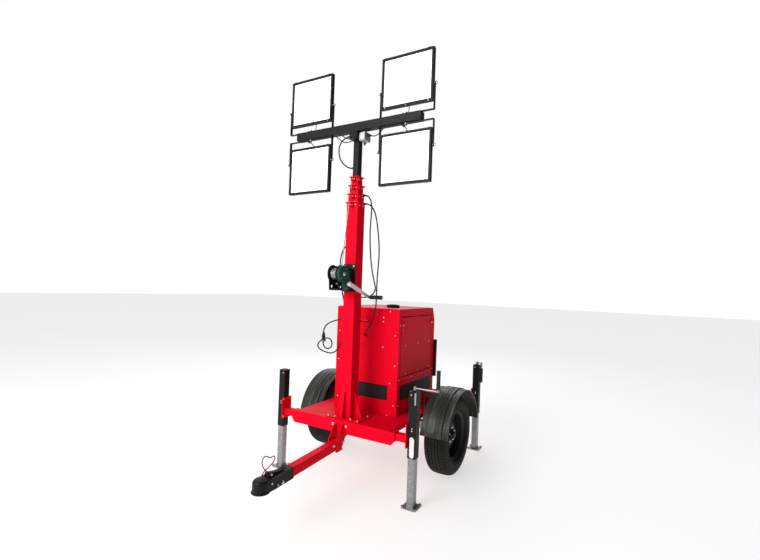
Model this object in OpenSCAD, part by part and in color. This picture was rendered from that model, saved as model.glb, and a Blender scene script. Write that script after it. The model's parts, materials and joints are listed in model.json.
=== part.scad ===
// Mobile light tower: a towed chassis on four screw jacks, a winch-raised telescopic mast
// with a T-bar of four floodlights, and a small generator canopy behind it.
// Millimetres. +Z up, the coupler points to -Y, +X is the right side.
// The origin is on the ground under the middle of the outline.

/* [Chassis] */
// Half the distance between the left and right jacks
jack_x = 587; // [560:1:640]
// Distance of the front jacks in front of the mast axis
jack_front = 73; // [60:1:90]
// Distance of the rear jacks behind the mast axis
jack_rear = 1257; // [1230:1:1300]
// Height of the deck's top
deck_top = 484; // [470:1:500]
// Thickness of the deck plate
deck_t = 4; // [3:0.5:6]
// Half the width of the deck
deck_x = 420; // [400:1:440]
// Outer width of the beams that hold the outrigger arms
beam_w = 60; // [58:1:64]
// Wall of those beams
beam_wall = 4; // [3:0.5:4.5]
// Half the length of the beams
beam_x = 460; // [440:1:480]
// Depth of the front plate of each beam
beam_plate = 90; // [80:1:100]
// Half the distance between the two long rails
rail_x = 290; // [260:1:320]
// Width of a long rail
rail_w = 50; // [40:1:60]
// Height of a long rail
rail_h = 76; // [60:1:90]
// Length of an outrigger arm's travel
arm_travel = 300; // [200:10:320]
// Wall of an outrigger arm
arm_wall = 4; // [3:0.5:4.5]
// Length of an arm that stays in its beam when it is pulled out
arm_hold = 130; // [110:5:150]

/* [Drawbar] */
// Outer width of the drawbar tube
bar_w = 62; // [58:1:68]
// Wall of the drawbar tube
bar_wall = 5; // [3:0.5:6]
// Height of the drawbar's centre at its bracket
bar_z = 319; // [310:1:325]
// How far the drawbar's centre drops from the bracket to the coupler
bar_drop = 33; // [20:1:45]
// Length of the drawbar from the bracket bolts to its front end
bar_l = 540; // [500:1:600]
// Wall of the coupler
coupler_wall = 5; // [4:0.5:6]
// Radius of the ball socket
socket_r = 25.4; // [25:0.1:26]
// Distance from the drawbar's front end to the centre of the ball socket
socket_ahead = 178; // [160:1:200]

/* [Wheels] */
// Outer diameter of a tyre
tyre_d = 620; // [600:1:640]
// Width of a tyre over its walls
tyre_w = 184; // [175:1:190]
// Radius of the rim at the bead
rim_r = 190; // [180:1:195]
// Half the distance between the two wheels' middles
track_x = 575; // [570:1:580]
// Distance of the axle behind the mast axis
axle_y = 600; // [590:1:610]
// Radius of the fixed spindle
spindle_r = 17; // [15:0.5:20]
// Width of a mudguard
fender_w = 220; // [210:1:230]
// Room between a tyre's tread and its mudguard
fender_room = 53; // [40:1:60]
// Wall of a mudguard
fender_t = 5; // [3:0.5:6]
// How far the mudguard's centre lies behind the axle
fender_back = 26; // [10:1:30]
// Radius of the bolt circle of a wheel's nuts
nut_ring = 56; // [50:1:60]

/* [Jacks] */
// Outer width of a jack's case
jack_w = 60; // [58:1:64]
// Wall of a jack's case
jack_wall = 4; // [3:0.5:4.5]
// Height of a jack's case top
jack_top = 780; // [760:1:800]
// Height of a jack's case bottom
jack_bottom = 330; // [320:1:345]
// Wall of a jack's leg
leg_wall = 3.5; // [3:0.5:4]
// Width of a foot plate
foot_w = 110; // [100:1:114]
// Length of a jack leg's travel
leg_travel = 290; // [200:10:290]
// Length of a jack crank's arm
jack_crank_l = 168; // [150:1:180]
// Length of a jack crank's grip
jack_grip_l = 124; // [100:1:130]

/* [Mast] */
// Outer width of the fixed mast tube
mast_w = 100; // [98:1:104]
// How much narrower each next tube is
mast_step = 12; // [11:0.5:13]
// Wall of each mast tube
mast_wall = 3; // [2.5:0.5:3.5]
// Height of the fixed tube's top
mast_top = 2110; // [2080:1:2140]
// Height that each next tube's collar stands above the last
collar_step = 66; // [60:1:72]
// Width of the black post, the last tube
post_w = 50; // [46:0.5:51]
// Lift of each moving tube
mast_travel = 1300; // [900:50:1350]

/* [Lights] */
// Height of the T-bar's middle
tbar_z = 2673; // [2650:1:2700]
// Outer width of the T-bar
tbar_w = 62; // [56:1:66]
// Wall of the T-bar
tbar_wall = 3; // [2.5:0.5:4]
// Length of the T-bar
tbar_l = 1107; // [1090:1:1130]
// Distance of the T-bar's middle in front of the mast axis
tbar_front = 42; // [40:1:60]
// Width of a lamp
lamp_w = 410; // [390:1:420]
// Height of a lamp
lamp_h = 373; // [360:1:380]
// Depth of a lamp's housing without its rear box
lamp_d = 92; // [80:1:100]
// Half the distance between the left and right lamps
lamp_x = 431; // [425:1:440]
// Gap between the T-bar and a lamp
lamp_gap = 61; // [50:1:70]
// Width of the lamp's black rim
rim_face = 17; // [14:1:22]
// Distance of the tilt bolt from the lamp edge next to the T-bar
pivot_in = 122; // [110:1:130]

/* [Canopy] */
// Width of the canopy
canopy_w = 585; // [560:1:600]
// Distance of the canopy's front behind the mast axis
canopy_front = 222; // [215:1:240]
// Length of the canopy
canopy_l = 681; // [660:1:700]
// Height of the canopy's top
canopy_top = 1307; // [1290:1:1330]
// Thickness of the canopy's walls and doors
panel_t = 20; // [16:1:24]
// Height of the door hinge lines
hinge_z = 777; // [770:1:785]
// Height of the doors' top edges
door_top = 1242; // [1220:1:1250]
// Height of the vents' lower edges above the deck
vent_up = 112; // [100:1:120]
// Height of the front and side vents
vent_h = 110; // [90:1:120]
// Half the width of the front and rear vents
vent_x = 205; // [180:1:220]
// Distance between the slats of a vent
slat_pitch = 27; // [22:1:36]
// Distance of each door edge from the canopy's front and rear
door_edge = 42; // [36:1:50]
// Width of the engine and generator
engine_w = 340; // [300:1:360]
// Length of the engine and generator
engine_l = 481; // [440:1:500]
// Height of the engine and generator
engine_h = 420; // [380:1:440]
// Radius of the roof cap
cap_r = 52; // [46:1:60]

/* [Winch] */
// Distance of the drum's axis in front of the mast
drum_out = 150; // [140:1:160]
// Height of the drum's axis
drum_z = 1560; // [1540:1:1580]
// Radius of the drum's core
drum_core = 34; // [30:1:38]
// Radius of the drum's flanges
drum_flange = 64; // [60:1:68]
// Distance between the drum's flanges
drum_l = 62; // [56:1:66]
// Distance of the crank's spindle in front of the mast
spindle_out = 103; // [98:1:108]
// Height of the crank's spindle
spindle_z = 1488; // [1482:1:1492]
// Length of the crank's arm
crank_l = 280; // [240:5:300]
// Radius of the lifting rope
rope_r = 3; // [2.5:0.5:3.5]

/* [Hidden] */
$fn = 48;
gap = 0.3;                     // what lies on another piece, on different bodies
run = 0.05;                    // radial clearance of a shaft
side_gap = 0.4;                  // clearance of a tube that slides in another
foot_half = foot_w / 2;
bar_tilt = atan(bar_drop / bar_l);
nose_y = -(bar_rear_y() + bar_l * cos(bar_tilt) + socket_ahead + nose_ahead());
tail_y = jack_rear + foot_half;
shift_y = -(nose_y + tail_y) / 2;   // the origin is under the middle of the outline
function bar_rear_y() = jack_front + beam_w / 2 + 63;
function nose_ahead() = 56;

beam_top = deck_top - deck_t;
beam_z = beam_top - beam_w / 2;
arm_w = beam_w - 2 * beam_wall - 2 * side_gap;
leg_w = jack_w - 2 * jack_wall - 2 * side_gap;
plate_t = 6;
weld = 1;                      // how far one welded piece sinks into the next
arm_end_x = jack_x - jack_w / 2 - plate_t;
beam_in = beam_x - arm_hold - arm_travel;   // where an arm's inner end stops, from the middle
axle_z = tyre_d / 2;
axle_tube_y = axle_y - 90;
axle_w = 60;
rail_bottom = beam_top - rail_h;
fender_r = tyre_d / 2 + fender_room + fender_t;

function width(n) = mast_w - n * mast_step;            // outer width of tube n
function collar_z(n) = mast_top + n * collar_step;     // top of tube n's collar
collar_t = 7;
tube_bottom = deck_top + 16;
canopy_rear = canopy_front + canopy_l;
canopy_base = deck_top;
vent_low = canopy_base + vent_up;
vent_high = vent_low + vent_h;
door_y0 = canopy_front + door_edge;
door_y1 = canopy_rear - door_edge - 24;
vent_y0 = canopy_front + 48;
vent_y1 = canopy_rear - 60;
rear_vent = 260;               // how much higher the rear vent is
hinge_r = 6;
hinge_out = hinge_r + 2 * gap;   // hinge axis outside the canopy's wall
hinge_drop = 3;                // hinge axis below the door's edge
knuckles = 9;
loop_ahead = -142;              // where the safety loop stands, from the drawbar's end
wire_r = 3.5;

saddle = post_w / 2 + 8;
pivot_y = -tbar_front;
rim_depth = 30;
lamp_front_y = pivot_y - rim_depth / 2;
strap_t = 4;
strap_w = 25;
yoke_half = lamp_w / 2 + 6;
function pivot_z(up) = tbar_z + up * (tbar_w / 2 + lamp_gap + pivot_in);
function lamp_z(up) = tbar_z + up * (tbar_w / 2 + lamp_gap + lamp_h / 2);

// Everything is drawn about the mast axis and moved to the row's origin here.
module place() translate([0, shift_y, 0]) children();

// A box from its low corner to its high corner.
module block(low, high) translate(low) cube(high - low);

// A box whose edges along one axis are rounded, drawn in XY and raised along Z.
module rounded(size, r) linear_extrude(size.z) difference() {
    square([size.x, size.y], center = true);
    for (sx = [-1, 1], sy = [-1, 1]) translate([sx * size.x / 2, sy * size.y / 2])
        difference() { square(2 * r, center = true); translate([-sx * r, -sy * r]) circle(r); }
}

// Points on an arc about a centre, from angle a to angle b.
function arc(centre, r, a, b, n) = [for (i = [0 : n]) let (t = a + (b - a) * i / n) centre + r * [cos(t), sin(t)]];

// A square tube along Z, its outer edges rounded.
module tube(w, wall, l) difference() {
    rounded([w, w, l], wall);
    translate([0, 0, -1]) linear_extrude(l + 2) square(w - 2 * wall, center = true);
}

// A tube along X from x0 to x1 at a place in YZ.
module tube_x(w, wall, x0, x1, y, z) translate([x0, y, z]) rotate([0, 90, 0]) tube(w, wall, x1 - x0);

// Frame

// A cross beam: the tube that holds two arms, and the deeper plate with cut corners on its outer face.
module beam(y, end) {
    low = beam_top - beam_plate;
    bottom = beam_top - beam_w;
    cut = 26;
    difference() {
        union() {
            block([-beam_x, y - beam_w / 2, bottom], [beam_x, y + beam_w / 2, beam_top]);
            translate([0, y + end * (beam_w / 2 + plate_t / 2 - weld / 2) + (plate_t + weld) / 2, 0])
                rotate([90, 0, 0]) linear_extrude(plate_t + weld) polygon([
                    [-beam_x, bottom], [-beam_x + cut, low], [beam_x - cut, low],
                    [beam_x, bottom], [beam_x, beam_top], [-beam_x, beam_top]]);
        }
        block([-beam_x - 1, y - beam_w / 2 + beam_wall, bottom + beam_wall],
            [beam_x + 1, y + beam_w / 2 - beam_wall, beam_top - beam_wall]);
    }
}

// Two plates welded under the front beam that clamp the drawbar between them.
module bracket() {
    front = jack_front + beam_w / 2 + plate_t;
    for (s = [-1, 1]) translate([s * (bar_w / 2 + gap + plate_t / 2) - plate_t / 2, 0, 0])
        rotate([90, 0, 90]) linear_extrude(plate_t) polygon([
            [-bar_rear_y() - 26, bar_z - 44], [-bar_rear_y() + 34, bar_z - 44],
            [-jack_front + 12, beam_top - beam_plate + 8], [-jack_front + 12, beam_top - beam_w + 2],
            [-front + 3, beam_top - beam_w + 2], [-front + 3, beam_top - 22], [-front - 14, beam_top - 22],
            [-bar_rear_y() - 26, bar_z + 42]]);
}

module rail(side) translate([side * rail_x, 0, 0]) difference() {
    y0 = -jack_front + beam_w / 2;
    y1 = jack_rear - beam_w / 2;
    block([-rail_w / 2, y0 - weld, rail_bottom], [rail_w / 2, y1 + weld, beam_top - weld]);
    block([-rail_w / 2 + beam_wall, y0 + weld, rail_bottom + beam_wall],
        [rail_w / 2 - beam_wall, y1 - weld, beam_top - weld - beam_wall]);
}

module chassis() color("red") {
    beam(-jack_front, -1);
    beam(jack_rear, 1);
    for (s = [-1, 1]) rail(s);
    for (y = [canopy_front + 60, axle_tube_y, canopy_rear - 40])
        block([-rail_x + rail_w / 2 - weld, y - 20, beam_top - 40],
            [rail_x - rail_w / 2 + weld, y + 20, beam_top - weld]);
    bracket();
}

module deck() color("firebrick") {
    lip = 30;
    front = -jack_front - beam_w / 2 - plate_t;
    rear = jack_rear + beam_w / 2;
    block([-deck_x, front, beam_top], [deck_x, rear, deck_top]);
    for (s = [-1, 1]) translate([s * (deck_x - deck_t / 2), 0, 0])
        block([-deck_t / 2, -jack_front + beam_w / 2 + 1, beam_top - lip],
            [deck_t / 2, jack_rear - beam_w / 2 - 1, beam_top]);
}

// The drawbar's own frame: its rear end at the bracket, leaning down towards the coupler.
module along_bar() translate([0, -bar_rear_y(), bar_z]) rotate([bar_tilt, 0, 0]) rotate([90, 0, 0]) children();

module drawbar() color("red") along_bar() difference() {
    translate([0, 0, -58]) tube(bar_w, bar_wall, bar_l + 58);
    for (z = [-30, 20]) translate([0, 0, z]) rotate([0, 90, 0]) cylinder(h = 200, r = 6, center = true);
}

// The pressed ball coupler: a channel over the drawbar's end, a domed socket and a latch lever that lies back.
module coupler() color("dimgray") {
    side = bar_w / 2 + gap;
    top = side + coupler_wall;
    half = side + coupler_wall;
    skirt = 34;
    difference() {
        union() {
            along_bar() block([-half, -skirt, bar_l - 66], [half, top, bar_l + 30]);
            at_bar_end() {
                translate([0, 0, -skirt]) linear_extrude(top + skirt) polygon([
                    [-half, -24], [-44, -96], [-44, -socket_ahead], [44, -socket_ahead], [44, -96], [half, -24]]);
                translate([0, -socket_ahead, 0]) rotate_extrude() polygon(concat(
                    [[0, -skirt], [nose_ahead() - 2, -skirt], [nose_ahead(), -skirt + 2], [nose_ahead(), -skirt + 6],
                     [nose_ahead() - 6, -skirt + 10]],
                    arc([nose_ahead() - 28, 22], 22, 0, 70, 4), [[0, 46]]));
                for (s = [-1, 1]) translate([s * 17 - 2, 0, 0]) rotate([90, 0, 90]) linear_extrude(4)
                    polygon(concat([[-140, top - 2]], arc([-117, 52], 12, 150, 20, 5), [[-70, top - 2]]));
            }
        }
        along_bar() block([-side, -60, bar_l - 90], [side, side, bar_l + gap]);
        at_bar_end() translate([0, -socket_ahead, 0]) {
            translate([0, 0, -40]) cylinder(h = 48, r = socket_r);
            translate([0, 0, 8]) sphere(r = socket_r);
        }
        at_bar_end() translate([0, -socket_ahead + 60, -skirt - 1]) linear_extrude(skirt + 20)
            square([60, 60], center = true);
    }
    // Lever: a pressed strip on the ears' bolt, its end turned up at the rear
    at_bar_end() translate([-15, 0, 0]) rotate([90, 0, 90]) linear_extrude(30) polygon(concat(
        arc([-117, 52], 11, 230, 60, 6), [[-60, 51], [-8, 46], [8, 54], [12, 50], [-4, 39], [-62, 42], [-100, 44]]));
    at_bar_end() translate([0, -117, 52]) rotate([0, 90, 0]) cylinder(h = 46, r = 5, center = true);
}

module at_bar_end() translate([0, -bar_rear_y() - bar_l * cos(bar_tilt), bar_z - bar_drop]) children();

// A bent wire loop, standing in the coupler's rear top
LOOP = [[0, -25, -0.5], [0, -25, 14], [0, -6, 32], [0, 26, 44], [0, 62, 60], [0, 78, 82], [0, 66, 98], [0, 36, 96],
    [0, 10, 112], [0, -16, 122], [0, -36, 106], [0, -34, 78], [0, -16, 46], [0, 2, 30], [0, 8, 14], [0, 8, -5.5]];
module safety_loop() color("red")
    at_bar_end() translate([0, loop_ahead, 46 + gap])
        cord([for (i = [0 : len(LOOP) - 1]) LOOP[i] + [i < 8 ? -4 : 4, 0, 0]], wire_r, 2, [1, 0, 0]);

module axle() color("dimgray") {
    tube_top = rail_bottom;
    inner_x = track_x - 92;
    block([-inner_x + 30, axle_tube_y - axle_w / 2, tube_top - axle_w], [inner_x - 30, axle_tube_y + axle_w / 2, tube_top]);
    for (s = [-1, 1]) {
        translate([s * (inner_x - 15), 0, 0]) rotate([90, 0, 90]) translate([0, 0, -15]) linear_extrude(30) union() {
            translate([axle_tube_y, tube_top - axle_w / 2]) circle(axle_w / 2);
            translate([axle_y, axle_z]) circle(32);
            polygon([[axle_tube_y + 8, tube_top], [axle_y + 12, axle_z + 29], [axle_y - 8, axle_z - 31],
                [axle_tube_y - 8, tube_top - axle_w]]);
        }
        translate([s * inner_x, axle_y, axle_z]) rotate([0, s * 90, 0]) {
            cylinder(h = 118, r = spindle_r);
            cylinder(h = hub_back() - gap, r = 28);
        }
    }
}

// How far a hub's back lies outside the axle's arm
function hub_back() = 30;

// A mudguard's section across the wheel: a raised middle with two grooves, and lips that turn down.
// Rows: distance from the middle, height against the outer radius.
FENDER = [[-110, -16], [-110, -7], [-66, -7], [-58, 0], [8, 0], [11, -3], [19, -3], [22, 0], [30, 0], [33, -3], [41, -3],
    [44, 0], [58, 0], [66, -7], [110, -7], [110, -16]];
module fender_section(lift = 0) {
    wide = fender_w / 2 / 110;
    last = len(FENDER) - 1;
    inner = [for (i = [last : -1 : 0]) let (p = FENDER[i], end = i == 0 || i == last, lip = i == 1 || i == last - 1)
        [fender_r + p.y - (end ? 0 : fender_t), p.x * wide - (end || lip ? sign(p.x) * fender_t : 0)]];
    polygon(concat([for (p = FENDER) [fender_r + p.y + lift, p.x * wide]], inner));
}

module fenders() color("dimgray") for (s = [-1, 1]) {
    translate([s * (track_x + 10), axle_y + fender_back, axle_z]) rotate([0, 90, 0]) rotate([0, 0, 99])
        rotate_extrude(angle = 162, $fn = 96) fender_section();
    // A thicker band along the front and rear edges
    for (a = [99, 256]) translate([s * (track_x + 10), axle_y + fender_back, axle_z]) rotate([0, 90, 0]) rotate([0, 0, a])
        rotate_extrude(angle = 5, $fn = 96) fender_section(3);
    // Two flat stays from the deck's edge under the mudguard
    for (a = [-25, 25]) translate([0, axle_y + fender_back, axle_z]) {
        r = fender_r - 7 - fender_t;
        rotate([a, 0, 0]) block([min(s * (deck_x + 1), s * (track_x + 60)), -15, r - 8], [max(s * (deck_x + 1), s * (track_x + 60)), 15, r + 1]);
        block([min(s * deck_x, s * (deck_x + 6)), -r * sin(a) - 15, beam_top - 26 - axle_z],
            [max(s * deck_x, s * (deck_x + 6)), -r * sin(a) + 15, r * cos(a) - 3]);
    }
}

// Wheels, drawn about their own middle with the outside towards +X

module tyre() color("dimgray") rotate([0, 90, 0]) rotate_extrude($fn = 64) {
    r = tyre_d / 2;
    w = tyre_w / 2;
    wall = concat([[rim_r, w - 28]], arc([r - 64, w - 60], 60, 145, 66, 3), arc([r - 24, w - 38], 24, 84, 4, 2));
    polygon(concat(wall, [for (i = [len(wall) - 1 : -1 : 0]) [wall[i].x, -wall[i].y]]));
}

module rim() color("gray") rotate([0, 90, 0]) difference() {
    union() {
        rotate_extrude($fn = 64) {
            w = tyre_w / 2;
            polygon([[rim_r - 3, -w + 30], [rim_r - 1, -w + 28], [rim_r - 1, w - 28], [rim_r - 3, w - 24],
                [rim_r - 20, w - 40], [rim_r - 26, w - 84], [rim_r - 26, -w + 40], [rim_r - 8, -w + 30]]);
            // Disc with a raised ring for the nuts
            polygon([[30, 8], [54, 16], [90, 22], [120, 6], [rim_r - 24, 0], [rim_r - 24, -6], [118, -1], [90, 14],
                [52, 8], [30, 0]]);
        }
        translate([0, 0, hub_back() - 92]) cylinder(h = 84, r = 34);
        translate([0, 0, 22]) rotate_extrude() polygon([[0, 0], [34, 0], [33, 12], [26, 16], [24, 30], [18, 34], [0, 34]]);
        for (a = [0 : 72 : 288]) rotate([0, 0, a + 18]) translate([nut_ring, 0, 6]) cylinder(h = 22, r = 11, $fn = 6);
    }
    translate([0, 0, -63]) cylinder(h = 90, r = spindle_r + run);
    for (a = [0 : 30 : 330]) rotate([0, 0, a]) translate([132, 0, -30]) cylinder(h = 60, r = 11);
}

module wheel_place(s) translate([s * track_x, axle_y, axle_z]) rotate([0, 0, s > 0 ? 0 : 180]) children();

// Mast

// A square collar that guides the next tube.
module collar(n) difference() {
    outer = width(n) + 22;
    translate([0, 0, collar_z(n) - collar_t]) rounded([outer, outer, collar_t], 5);
    translate([0, 0, collar_z(n) - collar_t - 1]) linear_extrude(collar_t + 2)
        square(n == 3 ? post_w + 2 * gap : width(n + 1) + 2 * gap, center = true);
}

module stage(n, bottom) {
    difference() {
        translate([0, 0, bottom]) tube(width(n), mast_wall, collar_z(n) - collar_t - bottom);
    }
    collar(n);
}

// Front lug and pulley on a stage's collar, for the lifting rope
module pulley_lug(n) {
    y = -width(n) / 2 - 11;
    z = collar_z(n) - collar_t;
    for (s = [-1, 1]) block([s * 9 - 2, y - 24, z - 34], [s * 9 + 2, y + 11, z]);
    translate([-6, y - 12, z - 18]) rotate([0, 90, 0]) rotate_extrude($fn = 32) difference() {
        translate([4, 0]) square([13, 12]);
        translate([18, 6]) circle(4, $fn = 16);
    }
    translate([-13, y - 12, z - 18]) rotate([0, 90, 0]) cylinder(h = 26, r = 4, $fn = 24);
}

// Block on a collar's right side that holds a cable's end
module cable_lug(n) block([width(n) / 2 + 4, -9, collar_z(n) - 25], [width(n) / 2 + 22, 9, collar_z(n)]);

module gusset(l, h) rotate([90, 0, 0]) translate([0, 0, -3]) linear_extrude(6)
    polygon([[0, 0], [l, 0], [l, 12], [10, h], [0, h]]);

module mast_tube() color("red") {
    stage(0, deck_top + 6);
    base = 150;
    translate([0, 0, deck_top]) rounded([2 * base, mast_w + 80, 6], 8);
    for (s = [0, 180]) rotate([0, 0, s]) translate([mast_w / 2, 0, deck_top + 6]) gusset(70, 190);
    for (s = [-90, 90]) rotate([0, 0, s]) translate([mast_w / 2, 0, deck_top + 6]) gusset(36, 190);
    pulley_lug(0);
    cable_lug(0);
    // Stay from the mast's back to the canopy
    block([-20, mast_w / 2, canopy_top - 112], [20, canopy_front - gap, canopy_top - 104]);
}

module mast_stage(n) color("red") {
    stage(n, tube_bottom + n * 14);
    pulley_lug(n);
    if (n == 1) cable_lug(n);
}

module mast_post() color("dimgray") translate([0, 0, tube_bottom + 56])
    tube(post_w, mast_wall, tbar_z - tbar_w / 2 - gap - tube_bottom - 56);

module t_bar() color("dimgray") {
    difference() {
        tube_x(tbar_w, tbar_wall, -tbar_l / 2, tbar_l / 2, -tbar_front, tbar_z);
        for (s = [-1, 1]) translate([s * lamp_x, -tbar_front, tbar_z]) cylinder(h = 100, r = 6 + run, center = true);
    }
    // Saddle that joins the post and the bar
    difference() {
        block([-saddle, -tbar_front - tbar_w / 2, tbar_z - tbar_w / 2 - 60], [saddle, saddle, tbar_z - tbar_w / 2]);
        block([-post_w / 2 - gap, -post_w / 2 - gap, tbar_z - tbar_w / 2 - 70],
            [post_w / 2 + gap, post_w / 2 + gap, tbar_z - tbar_w / 2 + 1]);
    }
    block([-saddle, -tbar_front + tbar_w / 2, tbar_z - tbar_w / 2], [saddle, saddle, tbar_z - tbar_w / 2 + 6]);
}

module junction_box() color("silver") {
    x = saddle + gap;
    translate([x + 27, 0, tbar_z - tbar_w / 2 - 68]) rounded([54, 80, 64], 6);
    translate([x + 27, 0, tbar_z - tbar_w / 2 - 76]) cylinder(h = 9, r = 9);
}

// Lamps, drawn about the tilt axis with the T-bar below

module yoke(side, up) color("dimgray") translate([side * lamp_x, -tbar_front, tbar_z]) scale([1, 1, up]) {
    base = tbar_w / 2 + gap;
    pivot = tbar_w / 2 + lamp_gap + pivot_in;
    difference() {
        union() {
            block([-yoke_half - strap_t, -strap_w / 2, base], [yoke_half + strap_t, strap_w / 2, base + strap_t]);
            for (s = [-1, 1]) {
                translate([s * (yoke_half + strap_t / 2), 0, 0])
                    block([-strap_t / 2, -strap_w / 2, base], [strap_t / 2, strap_w / 2, pivot]);
                translate([s * (yoke_half + strap_t / 2), 0, pivot]) rotate([0, 90, 0])
                    cylinder(h = strap_t, r = strap_w / 2, center = true);
            }
        }
        translate([0, 0, pivot]) rotate([0, 90, 0]) cylinder(h = 600, r = 6 + run, center = true);
    }
    // Bolt through the T-bar
    translate([0, 0, tbar_w / 2 - 14]) cylinder(h = 16, r = 6);
    translate([0, 0, base + strap_t]) cylinder(h = 8, r = 10, $fn = 6);
}

module lamp_body(side, up) translate([side * lamp_x, 0, lamp_z(up)]) {
    back_w = lamp_w - 2 * lamp_d * 0.9;
    back_h = lamp_h - 2 * lamp_d * 0.85;
    front = lamp_front_y;
    difference() {
        union() {
            block([-lamp_w / 2, front, -lamp_h / 2], [lamp_w / 2, front + rim_depth, lamp_h / 2]);
            hull() {
                translate([0, front + rim_depth, 0]) cube([lamp_w - 16, 1, lamp_h - 16], center = true);
                translate([0, front + lamp_d, 0]) cube([back_w, 1, back_h], center = true);
            }
            block([-60, front + lamp_d - 2, -45], [60, front + lamp_d + 28, 45]);
            for (i = [-2 : 2]) block([-68, front + lamp_d - 2, i * 18 - 1.5], [68, front + lamp_d + 33, i * 18 + 1.5]);
        }
        block([-lamp_w / 2 + rim_face, front - 1, -lamp_h / 2 + rim_face],
            [lamp_w / 2 - rim_face, front + rim_depth + 1, lamp_h / 2 - rim_face]);
        hull() {
            translate([0, front + rim_depth, 0]) cube([lamp_w - 2 * rim_face, 1, lamp_h - 2 * rim_face], center = true);
            translate([0, front + lamp_d - 6, 0]) cube([back_w - 12, 1, back_h - 12], center = true);
        }
    }
}

module lamp(side, up) color("black") {
    lamp_body(side, up);
    for (s = [-1, 1]) translate([side * lamp_x + s * lamp_w / 2, pivot_y, pivot_z(up)]) rotate([0, s * 90, 0]) {
        cylinder(h = 6 + strap_t + 4, r = 6);
        translate([0, 0, 6 + strap_t + gap]) cylinder(h = 8, r = 11, $fn = 24);
    }
}

module glass(side, up) color("white") translate([side * lamp_x, lamp_front_y + 6, lamp_z(up)])
    cube([lamp_w - 2 * rim_face - gap, 5, lamp_h - 2 * rim_face - gap], center = true);

// Outriggers and jacks

module arm(side, y) color("red") {
    x0 = beam_in;
    translate([side < 0 ? -arm_end_x : x0, y, beam_z]) rotate([0, 90, 0]) tube(arm_w, arm_wall, arm_end_x - x0);
    translate([side * (arm_end_x + plate_t / 2), y, 0])
        block([-plate_t / 2, -52, beam_z - 52], [plate_t / 2, 52, beam_z + 112]);
}

module jack(side, y, kind) color("dimgray") translate([side * jack_x, y, 0]) {
    translate([0, 0, jack_bottom]) tube(jack_w, jack_wall, jack_top - jack_bottom - 6);
    translate([0, 0, jack_top - 6]) rounded([jack_w, jack_w, 6], 4);
    if (kind > 0) translate([0, 0, jack_top]) cylinder(h = 6, r = 13);
}

module leg(side, y) color("silver") translate([side * jack_x, y, 0]) {
    translate([0, 0, 6]) tube(leg_w, leg_wall, jack_top - leg_travel - 44 - 6);
    difference() {
        rounded([foot_w, foot_w, 14], 12);
        translate([0, 0, 6]) linear_extrude(20) difference() {
            square(foot_w - 10, center = true);
            square(leg_w, center = true);
        }
        for (a = [0, 90]) rotate([0, 0, a]) translate([0, 0, 16]) cube([foot_w + 2, foot_w - 44, 20], center = true);
    }
    translate([0, 0, 6]) difference() {
        rounded([leg_w + 8, leg_w + 8, 6], 4);
        translate([0, 0, -1]) linear_extrude(8) square(leg_w, center = true);
    }
}

// A top-wind crank: boss, bent arm and upright grip; kind 2 is folded down beside the case.
module crank(side, y, kind) color("silver") translate([side * jack_x, y, jack_top + 6 + gap]) {
    cylinder(h = 18, r = 11);
    if (kind == 1) {
        translate([0, 0, 12]) rotate([0, side * 90, 0]) cylinder(h = jack_crank_l, r = 6);
        translate([side * jack_crank_l, 0, 6]) cylinder(h = 22, r = 8);
        translate([side * jack_crank_l, 0, 28]) cylinder(h = jack_grip_l, r = 13);
    } else {
        translate([0, 0, 12]) rotate([0, side * 90, 0]) cylinder(h = 44, r = 6);
        translate([side * 44, 0, 18 - jack_crank_l - 20]) cylinder(h = jack_crank_l + 20, r = 6);
        translate([side * 44, 0, 18 - jack_crank_l - 10]) cylinder(h = jack_grip_l, r = 12);
    }
}

// Canopy

module door_outline(side, clear) {
    x0 = canopy_w / 2 - panel_t - (clear > 0 ? 1 : 0);
    x1 = canopy_w / 2 + (clear > 0 ? 1 : 0);
    block([min(side * x0, side * x1), door_y0 - clear, hinge_z - clear],
        [max(side * x0, side * x1), door_y1 + clear, door_top + clear]);
}

// One half of a long hinge: the leaf and every other knuckle; up is 1 for the door's half.
module hinge_half(side, up) translate([side * (canopy_w / 2 + hinge_out), door_y0, hinge_z - hinge_drop]) {
    pitch = (door_y1 - door_y0) / knuckles;
    leaf = 2.5;
    x0 = -side * hinge_out;
    x1 = x0 + side * leaf;
    clear = hinge_r + gap;
    low = up > 0 ? clear : -27;
    high = up > 0 ? 27 : -clear;
    block([min(x0, x1), 0, low], [max(x0, x1), knuckles * pitch, high]);
    for (i = [up > 0 ? 0 : 1 : 2 : knuckles - 1]) translate([0, i * pitch + gap, 0]) {
        rotate([-90, 0, 0]) cylinder(h = pitch - 2 * gap, r = hinge_r);
        block([min(x0, x1), 0, min(0, up * (clear + 1))], [max(x0, x1), pitch - 2 * gap, max(0, up * (clear + 1))]);
    }
}
module hinge_pin(side, r) translate([side * (canopy_w / 2 + hinge_out), door_y0 + gap, hinge_z - hinge_drop])
    rotate([-90, 0, 0]) cylinder(h = door_y1 - door_y0 - 2 * gap, r = r);

module canopy() color("red") {
    canopy_shell();
    canopy_slats();
    // Folded edge of the top cover across the front
    block([-vent_x, canopy_front - 4, canopy_top - 94], [vent_x, canopy_front + weld, canopy_top - 86]);
}

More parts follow.
